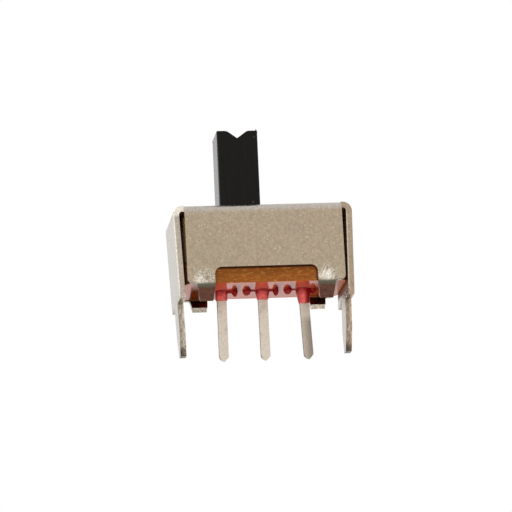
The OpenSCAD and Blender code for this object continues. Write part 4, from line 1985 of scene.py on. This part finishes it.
class SWITCH_OT_terminals(bpy.types.Operator):
    """Build the three terminals, each with its own lean"""

    bl_idname = "slide_switch.terminals"
    bl_label = "Terminals"

    def execute(self, context):
        look = context.scene.slide_switch.pins
        blank = self.blank(look)
        material = tinned_brass(look)
        names = ("left_pin", "middle_pin", "right_pin")
        for name, node, lean in zip(names, PIN_NODES, look.leans):
            only(blank)
            bpy.ops.object.duplicate()
            pin = bpy.context.active_object
            pin.name = pin.data.name = name
            self.lean_tail(pin, lean)
            low, high = box_mm(node)
            pin.location.x = (low.x + high.x) / 2
            settle(pin)
            finish_piece(pin, "switch_frame", node, (material,))
        bpy.data.objects.remove(blank)
        return {"FINISHED"}

    def blank(self, look):
        """A straight terminal: tail, neck, shoulders and blade, pulled up from one block."""
        low, high = box_mm("terminal_left")
        board_low, board_high = box_mm("base_board")
        half = mm(look.tail_width) / 2
        radius = mm(look.tip_radius)
        pin = block(
            "terminal_blank", (-half, low.y, low.z), (half, high.y, board_low.z)
        )
        shoulder_top = board_high.z + mm(look.shoulder_height)
        widths = (half, (high.x - low.x) / 2, mm(look.blade_width) / 2)
        tops = (board_high.z, shoulder_top, high.z)
        with editing(pin):
            pick(pin, "faces", lambda face: face.normal.z > 0.9)
            level, wide = board_low.z, half
            for width, top in zip(widths, tops):
                bpy.ops.mesh.extrude_region_move()
                bpy.ops.transform.resize(
                    value=(width / wide, 1, 1), center_override=(0, 0, level)
                )
                bpy.ops.mesh.extrude_region_move(
                    TRANSFORM_OT_translate={"value": (0, 0, top - level)}
                )
                level, wide = top, width
            bpy.ops.mesh.select_all(action="SELECT")
            bpy.ops.mesh.remove_doubles(threshold=0.0005)
            pick(pin, "edges", lambda edge: runs_along(edge, 1) and near(middle(edge).z, high.z))
            bpy.ops.mesh.bevel(offset=mm(look.blade_chamfer), segments=1, affect="EDGES")
            # The shear cuts one corner of the end, and the other is rounded.
            shear = Vector((mm(look.tip_shear), 0, radius - 2 * half))
            bpy.ops.mesh.select_all(action="SELECT")
            bpy.ops.mesh.bisect(
                plane_co=(radius - half, 0, low.z),
                plane_no=shear,
                use_fill=True,
                clear_outer=True,
                threshold=0.0005,
            )
            pick(
                pin,
                "edges",
                lambda edge: runs_along(edge, 1)
                and near(middle(edge).z, low.z)
                and near(middle(edge).x, -half),
            )
            bpy.ops.mesh.bevel(offset=radius * 0.98, segments=7, affect="EDGES")
        soften(pin, mm(look.edge_round))
        return pin

    def lean_tail(self, pin, lean):
        """Turns the tail about its root at the board."""
        root = box_mm("base_board")[0].z
        with editing(pin):
            pick(pin, "verts", lambda vertex: vertex.co.z < root - 0.01)
            bpy.ops.transform.rotate(
                value=lean, orient_axis="Y", center_override=(0, 0, root)
            )


class SWITCH_OT_sealing_lacquer(bpy.types.Operator):
    """Build the lacquer: collars round the terminals, joined by a thin run with drops"""

    bl_idname = "slide_switch.sealing_lacquer"
    bl_label = "Sealing Lacquer"

    def execute(self, context):
        look = context.scene.slide_switch.lacquer
        pins = context.scene.slide_switch.pins
        board = box_mm("base_board")[0].z
        places = []
        for node in PIN_NODES:
            low, high = box_mm(node)
            places.append((low.x + high.x) / 2)
        radii, ends, drops = mm(look.collar_radii), mm(look.collar_ends), mm(look.collar_drops)
        shapes = zip(places, radii, ends, drops, pins.leans)
        beads = [
            self.collar(Vector((x, 0, board)), radius, end, mm(look.flare), drop, lean)
            for x, radius, end, drop, lean in shapes
        ]
        for x in places[:2]:
            for along, radius, height in (mm(look.small_drop), mm(look.large_drop)):
                beads.append(self.drop(Vector((x + along, 0, board)), radius, height))
        end = places[2] + mm(look.run_end)
        beads.append(self.drop(Vector((end, 0, board)), *mm(look.last_drop)))
        small, large = mm(look.small_drop)[0], mm(look.large_drop)[0]
        stretches = (
            (places[0], places[0] + small),
            (places[0] + large, places[1]),
            (places[1], places[1] + small),
            (places[1] + large, places[2]),
            (places[2], end),
        )
        for radius, (start, stop) in zip(mm(look.run_radii), stretches):
            beads.append(self.run(radius, start, stop, board))
        for bead in beads:
            bead.select_set(True)
        bpy.context.view_layer.objects.active = beads[0]
        bpy.ops.object.join()
        lacquer = bpy.context.active_object
        lacquer.name = lacquer.data.name = "lacquer_seal"
        modify(lacquer, "REMESH", mode="VOXEL", voxel_size=mm(look.grain))
        modify(lacquer, "SMOOTH", factor=0.5, iterations=6)
        with editing(lacquer):
            bpy.ops.mesh.select_all(action="SELECT")
            bpy.ops.mesh.bisect(
                plane_co=(0, 0, board),
                plane_no=(0, 0, 1),
                use_fill=True,
                clear_outer=True,
                threshold=0.0005,
            )
        finish_piece(
            lacquer,
            "switch_frame",
            "sealing_lacquer",
            (sealing_epoxy(look, mm(pins.pitch)),),
            smooth_angle=60,
        )
        return {"FINISHED"}

    def collar(self, place, radius, end, flare, drop, lean):
        """A tapered collar round a tail, with a rounded lip, and a flare at the board."""
        bpy.ops.object.select_all(action="DESELECT")
        bpy.ops.mesh.primitive_cylinder_add(
            vertices=32, radius=radius, depth=drop, location=(0, 0, -drop / 2)
        )
        collar = bpy.context.active_object
        settle(collar)
        with editing(collar):
            # The flare: its rim is spread at the board, and carried up into it to be cut off.
            pick(collar, "faces", lambda face: face.normal.z > 0.9)
            bpy.ops.mesh.extrude_region_move(
                TRANSFORM_OT_translate={"value": (0, 0, 0.06)}
            )
            spread = (radius + flare) / radius
            bpy.ops.transform.resize(value=(spread, spread, 1))
            bpy.ops.transform.translate(value=(0, 0, -0.05))
            bpy.ops.mesh.extrude_region_move(
                TRANSFORM_OT_translate={"value": (0, 0, 0.1)}
            )
            # The lower end, well below the flare.
            pick(
                collar,
                "faces",
                lambda face: face.normal.z < -0.9 and face.calc_center_median().z < -0.1,
            )
            bpy.ops.transform.resize(value=(end / radius, end / radius, 1))
            bpy.ops.mesh.bevel(offset=0.06, segments=3, affect="EDGES")
        collar.matrix_world = Matrix.Translation(place) @ Matrix.Rotation(-lean, 4, "Y")
        settle(collar)
        return collar

    def drop(self, place, radius, height):
        """A drop that hangs from the board."""
        bpy.ops.object.select_all(action="DESELECT")
        bpy.ops.mesh.primitive_uv_sphere_add(
            segments=24, ring_count=16, radius=radius, location=place
        )
        drop = bpy.context.active_object
        drop.scale.z = height / radius
        settle(drop)
        return drop

    def run(self, radius, start, end, board):
        """A stretch of the thin run of lacquer along the board."""
        bpy.ops.object.select_all(action="DESELECT")
        bpy.ops.mesh.primitive_cylinder_add(
            vertices=16,
            radius=radius,
            depth=end - start,
            location=((start + end) / 2, 0, board),
            rotation=(0, math.pi / 2, 0),
        )
        run = bpy.context.active_object
        settle(run)
        return run


class SWITCH_OT_slider(bpy.types.Operator):
    """Build the slider: the body under the frame, and the handle with its V notch"""

    bl_idname = "slide_switch.slider"
    bl_label = "Slider"

    def execute(self, context):
        look = context.scene.slide_switch.slider
        low, high = box_mm("slider")
        centre = (low.x + high.x) / 2
        slider = self.body(look, low, high)
        combine(slider, self.handle(look, centre + mm(look.handle_shift), high.z), "UNION")
        half, top = mm(look.channel)
        channel = block("channel", (low.x - 1, -half, low.z - 1), (high.x + 1, half, top))
        combine(slider, channel, "DIFFERENCE")
        length, width, top = mm(look.pocket)
        pocket = block(
            "pocket",
            (centre - length / 2, -width / 2, low.z - 1),
            (centre + length / 2, width / 2, top),
        )
        combine(slider, pocket, "DIFFERENCE")
        finish_piece(
            slider, "sliding_unit", "slider", (black_acetal(look),)
        )
        return {"FINISHED"}

    def body(self, look, low, high):
        """The block that slides under the frame's top."""
        top = mm(look.body_top)
        body = block("slider_moulding", low, (high.x, high.y, top))
        with editing(body):
            pick(
                body, "edges", lambda edge: runs_along(edge, 0) and near(middle(edge).z, top)
            )
            bpy.ops.mesh.bevel(offset=mm(look.body_chamfer), segments=1, affect="EDGES")
            pick(body, "edges", lambda edge: runs_along(edge, 2))
            bpy.ops.mesh.bevel(offset=mm(look.body_radius), segments=6, affect="EDGES")
        soften(body, mm(look.edge_round))
        return body

    def handle(self, look, centre, peak):
        """The leaning handle, with rounded edges and a V notch across its end."""
        half_length, half_width = mm(look.handle_length) / 2, mm(look.handle_width) / 2
        top = peak - half_length * math.sin(look.handle_lean) - mm(look.handle_trim)
        mouth = mm(look.notch_width) / 2
        handle = block(
            "handle",
            (centre - half_length, -half_width, mm(look.body_top) - 0.25),
            (centre + half_length, half_width, top),
        )
        with editing(handle):
            for x in (centre - mouth, centre, centre + mouth):
                bisect(handle, lambda face: True, (x, 0, 0), (1, 0, 0))
            pick(
                handle, "verts", lambda vertex: near(vertex.co.x, centre) and near(vertex.co.z, top)
            )
            bpy.ops.transform.translate(value=(0, 0, -mm(look.notch_depth)))
            pick(
                handle,
                "edges",
                lambda edge: runs_along(edge, 1)
                and near(middle(edge).z, top)
                and near(abs(middle(edge).x - centre), mouth),
            )
            bpy.ops.mesh.bevel(offset=mm(look.shoulder_setback), segments=5, affect="EDGES")
            pick(
                handle,
                "edges",
                lambda edge: runs_along(edge, 2)
                and near(abs(middle(edge).x - centre), half_length),
            )
            bpy.ops.mesh.bevel(offset=mm(look.handle_radius), segments=5, affect="EDGES")
        soften(handle, mm(look.edge_round), angle=30)
        # Moulding flash stands up at two corners of the handle's end.
        for side in (-1, 1):
            inset = mm(look.flash_width)
            corner = (centre - side * (half_length - inset), side * (half_width - inset), top)
            combine(handle, self.spur(look, Vector(corner)), "UNION")
        with editing(handle):
            bpy.ops.mesh.select_all(action="SELECT")
            bpy.ops.transform.rotate(
                value=-look.handle_lean,
                orient_axis="Y",
                center_override=(centre, 0, box_mm("frame")[1].z),
            )
        return handle

    def spur(self, look, place):
        """A small pointed spur of moulding flash."""
        width, height = mm(look.flash_width), mm(look.flash_height)
        bpy.ops.object.select_all(action="DESELECT")
        bpy.ops.mesh.primitive_cone_add(
            vertices=5,
            radius1=1.4 * width,
            radius2=0.1 * width,
            depth=2 * height,
            location=place,
        )
        spur = bpy.context.active_object
        settle(spur)
        return spur


class SWITCH_OT_moving_contact(bpy.types.Operator):
    """Give the moving contact its finish"""

    bl_idname = "slide_switch.moving_contact"
    bl_label = "Moving Contact"

    def execute(self, context):
        look = context.scene.slide_switch.contact
        contact = frame["nodes"]["moving_contact"]
        contact.material_slots[0].material = silvered_bronze(look)
        return {"FINISHED"}


class SWITCH_OT_stage(bpy.types.Operator):
    """Set the camera, the pale floor and the soft lamps"""

    bl_idname = "slide_switch.stage"
    bl_label = "Stage"

    # Size and place of each lamp, and whether metal and gloss mirror it.
    LAMPS = {
        "key": (0.07, (-0.045, -0.06, 0.055), False),
        "low": (0.04, (-0.01, -0.09, 0.004), False),
        "top": (0.09, (0.01, 0.02, 0.1), False),
        "side": (0.07, (-0.1, -0.012, 0.024), True),
    }

    def execute(self, context):
        look = context.scene.slide_switch.stage
        context.scene.view_settings.view_transform = "Standard"
        self.camera(context, look)
        self.floor(look)
        self.surroundings(context, look)
        for name, (size, place, mirrored) in self.LAMPS.items():
            power = getattr(look, name + "_power")
            self.lamp(name + "_lamp", power, size, place, mirrored, look.aim)
        return {"FINISHED"}

    def camera(self, context, look):
        """The camera stands off along its line of sight, and is slid to frame the switch."""
        a, e, r = look.azimuth, look.elevation, look.roll
        back = Vector((math.sin(a) * math.cos(e), -math.cos(a) * math.cos(e), math.sin(e)))
        level = Vector((math.cos(a), math.sin(a), 0))
        upright = back.cross(level)
        right = level * math.cos(r) + upright * math.sin(r)
        up = upright * math.cos(r) - level * math.sin(r)
        bpy.ops.object.select_all(action="DESELECT")
        bpy.ops.object.camera_add()
        camera = bpy.context.active_object
        camera.name = "camera"
        place = (
            Vector(look.aim)
            + back * look.distance
            + right * look.slide[0]
            + up * look.slide[1]
        )
        turned = Matrix((right, up, back)).transposed().to_4x4()
        camera.matrix_world = Matrix.Translation(place) @ turned
        camera.data.lens = look.lens
        camera.data.sensor_width = 36
        camera.data.clip_start, camera.data.clip_end = 0.005, 10
        context.scene.camera = camera

    def floor(self, look):
        """A wide floor just under the pins."""
        bpy.ops.object.select_all(action="DESELECT")
        bpy.ops.mesh.primitive_plane_add(
            size=look.floor_size, location=(0, 0, cad_bounds[0].z - look.floor_gap)
        )
        floor = bpy.context.active_object
        floor.name = floor.data.name = "floor"
        floor.data.materials.append(pale_floor(look))

    def surroundings(self, context, look):
        """White where the camera, metal and gloss see it, and a plain ambient light elsewhere."""
        world = bpy.data.worlds.new("studio")
        world.use_nodes = True
        context.scene.world = world
        tree = world.node_tree
        path = add_node(tree, "LightPath").outputs
        seen = add_node(
            tree, "Math", {0: path["Is Camera Ray"], 1: path["Is Glossy Ray"]}, operation="MAXIMUM"
        ).outputs[0]
        seen = add_node(
            tree, "Math", {0: seen, 1: path["Is Transmission Ray"]}, operation="MAXIMUM"
        ).outputs[0]
        soft = {"Color": (1, 1, 1), "Strength": look.ambient}
        ambient = add_node(tree, "Background", soft).outputs[0]
        white = add_node(tree, "Background", {"Color": (1, 1, 1), "Strength": 1}).outputs[0]
        mixed = add_node(tree, "MixShader", {0: seen, 1: ambient, 2: white}).outputs[0]
        tree.links.new(mixed, tree.nodes["World Output"].inputs["Surface"])

    def lamp(self, name, power, size, place, mirrored, aim):
        """A square soft lamp that faces a point, and shows in metal and gloss if mirrored."""
        bpy.ops.object.select_all(action="DESELECT")
        bpy.ops.object.light_add(type="AREA", location=place)
        lamp = bpy.context.active_object
        lamp.name = lamp.data.name = name
        lamp.data.energy = power
        lamp.data.shape = "SQUARE"
        lamp.data.size = size
        towards = Vector(aim) - Vector(place)
        lamp.rotation_euler = towards.to_track_quat("-Z", "Y").to_euler()
        lamp.visible_camera = False
        lamp.visible_glossy = mirrored


class SWITCH_PT_panel(bpy.types.Panel):
    """Lists the pieces and their settings"""

    bl_idname = "SWITCH_PT_panel"
    bl_label = "Slide Switch"
    bl_space_type = "VIEW_3D"
    bl_region_type = "UI"
    bl_category = "Slide Switch"

    def draw(self, context):
        settings = context.scene.slide_switch
        groups = ("frame", "board", "pins", "lacquer", "slider", "contact", "stage")
        for operator, group in zip(OPERATORS, groups):
            column = self.layout.column(align=True)
            column.operator(operator.bl_idname)
            part = getattr(settings, group)
            for name in part.bl_rna.properties.keys():
                if name not in ("rna_type", "name"):
                    column.prop(part, name)


OPERATORS = (
    SWITCH_OT_folded_frame,
    SWITCH_OT_base_board,
    SWITCH_OT_terminals,
    SWITCH_OT_sealing_lacquer,
    SWITCH_OT_slider,
    SWITCH_OT_moving_contact,
    SWITCH_OT_stage,
)
SETTINGS = (
    FrameSettings,
    BoardSettings,
    PinSettings,
    LacquerSettings,
    SliderSettings,
    ContactSettings,
    StageSettings,
    SlideSwitchSettings,
)
CLASSES = (*SETTINGS, *OPERATORS, SWITCH_PT_panel)


def register():
    for cls in CLASSES:
        bpy.utils.register_class(cls)
    bpy.types.Scene.slide_switch = bpy.props.PointerProperty(type=SlideSwitchSettings)


def unregister():
    del bpy.types.Scene.slide_switch
    for cls in reversed(CLASSES):
        bpy.utils.unregister_class(cls)


def main():
    """Builds every piece and the stage."""
    register()
    steps = bpy.ops.slide_switch
    steps.folded_frame()
    steps.base_board()
    steps.terminals()
    steps.sealing_lacquer()
    steps.slider()
    steps.moving_contact()
    steps.stage()


if __name__ == "__main__":
    main()
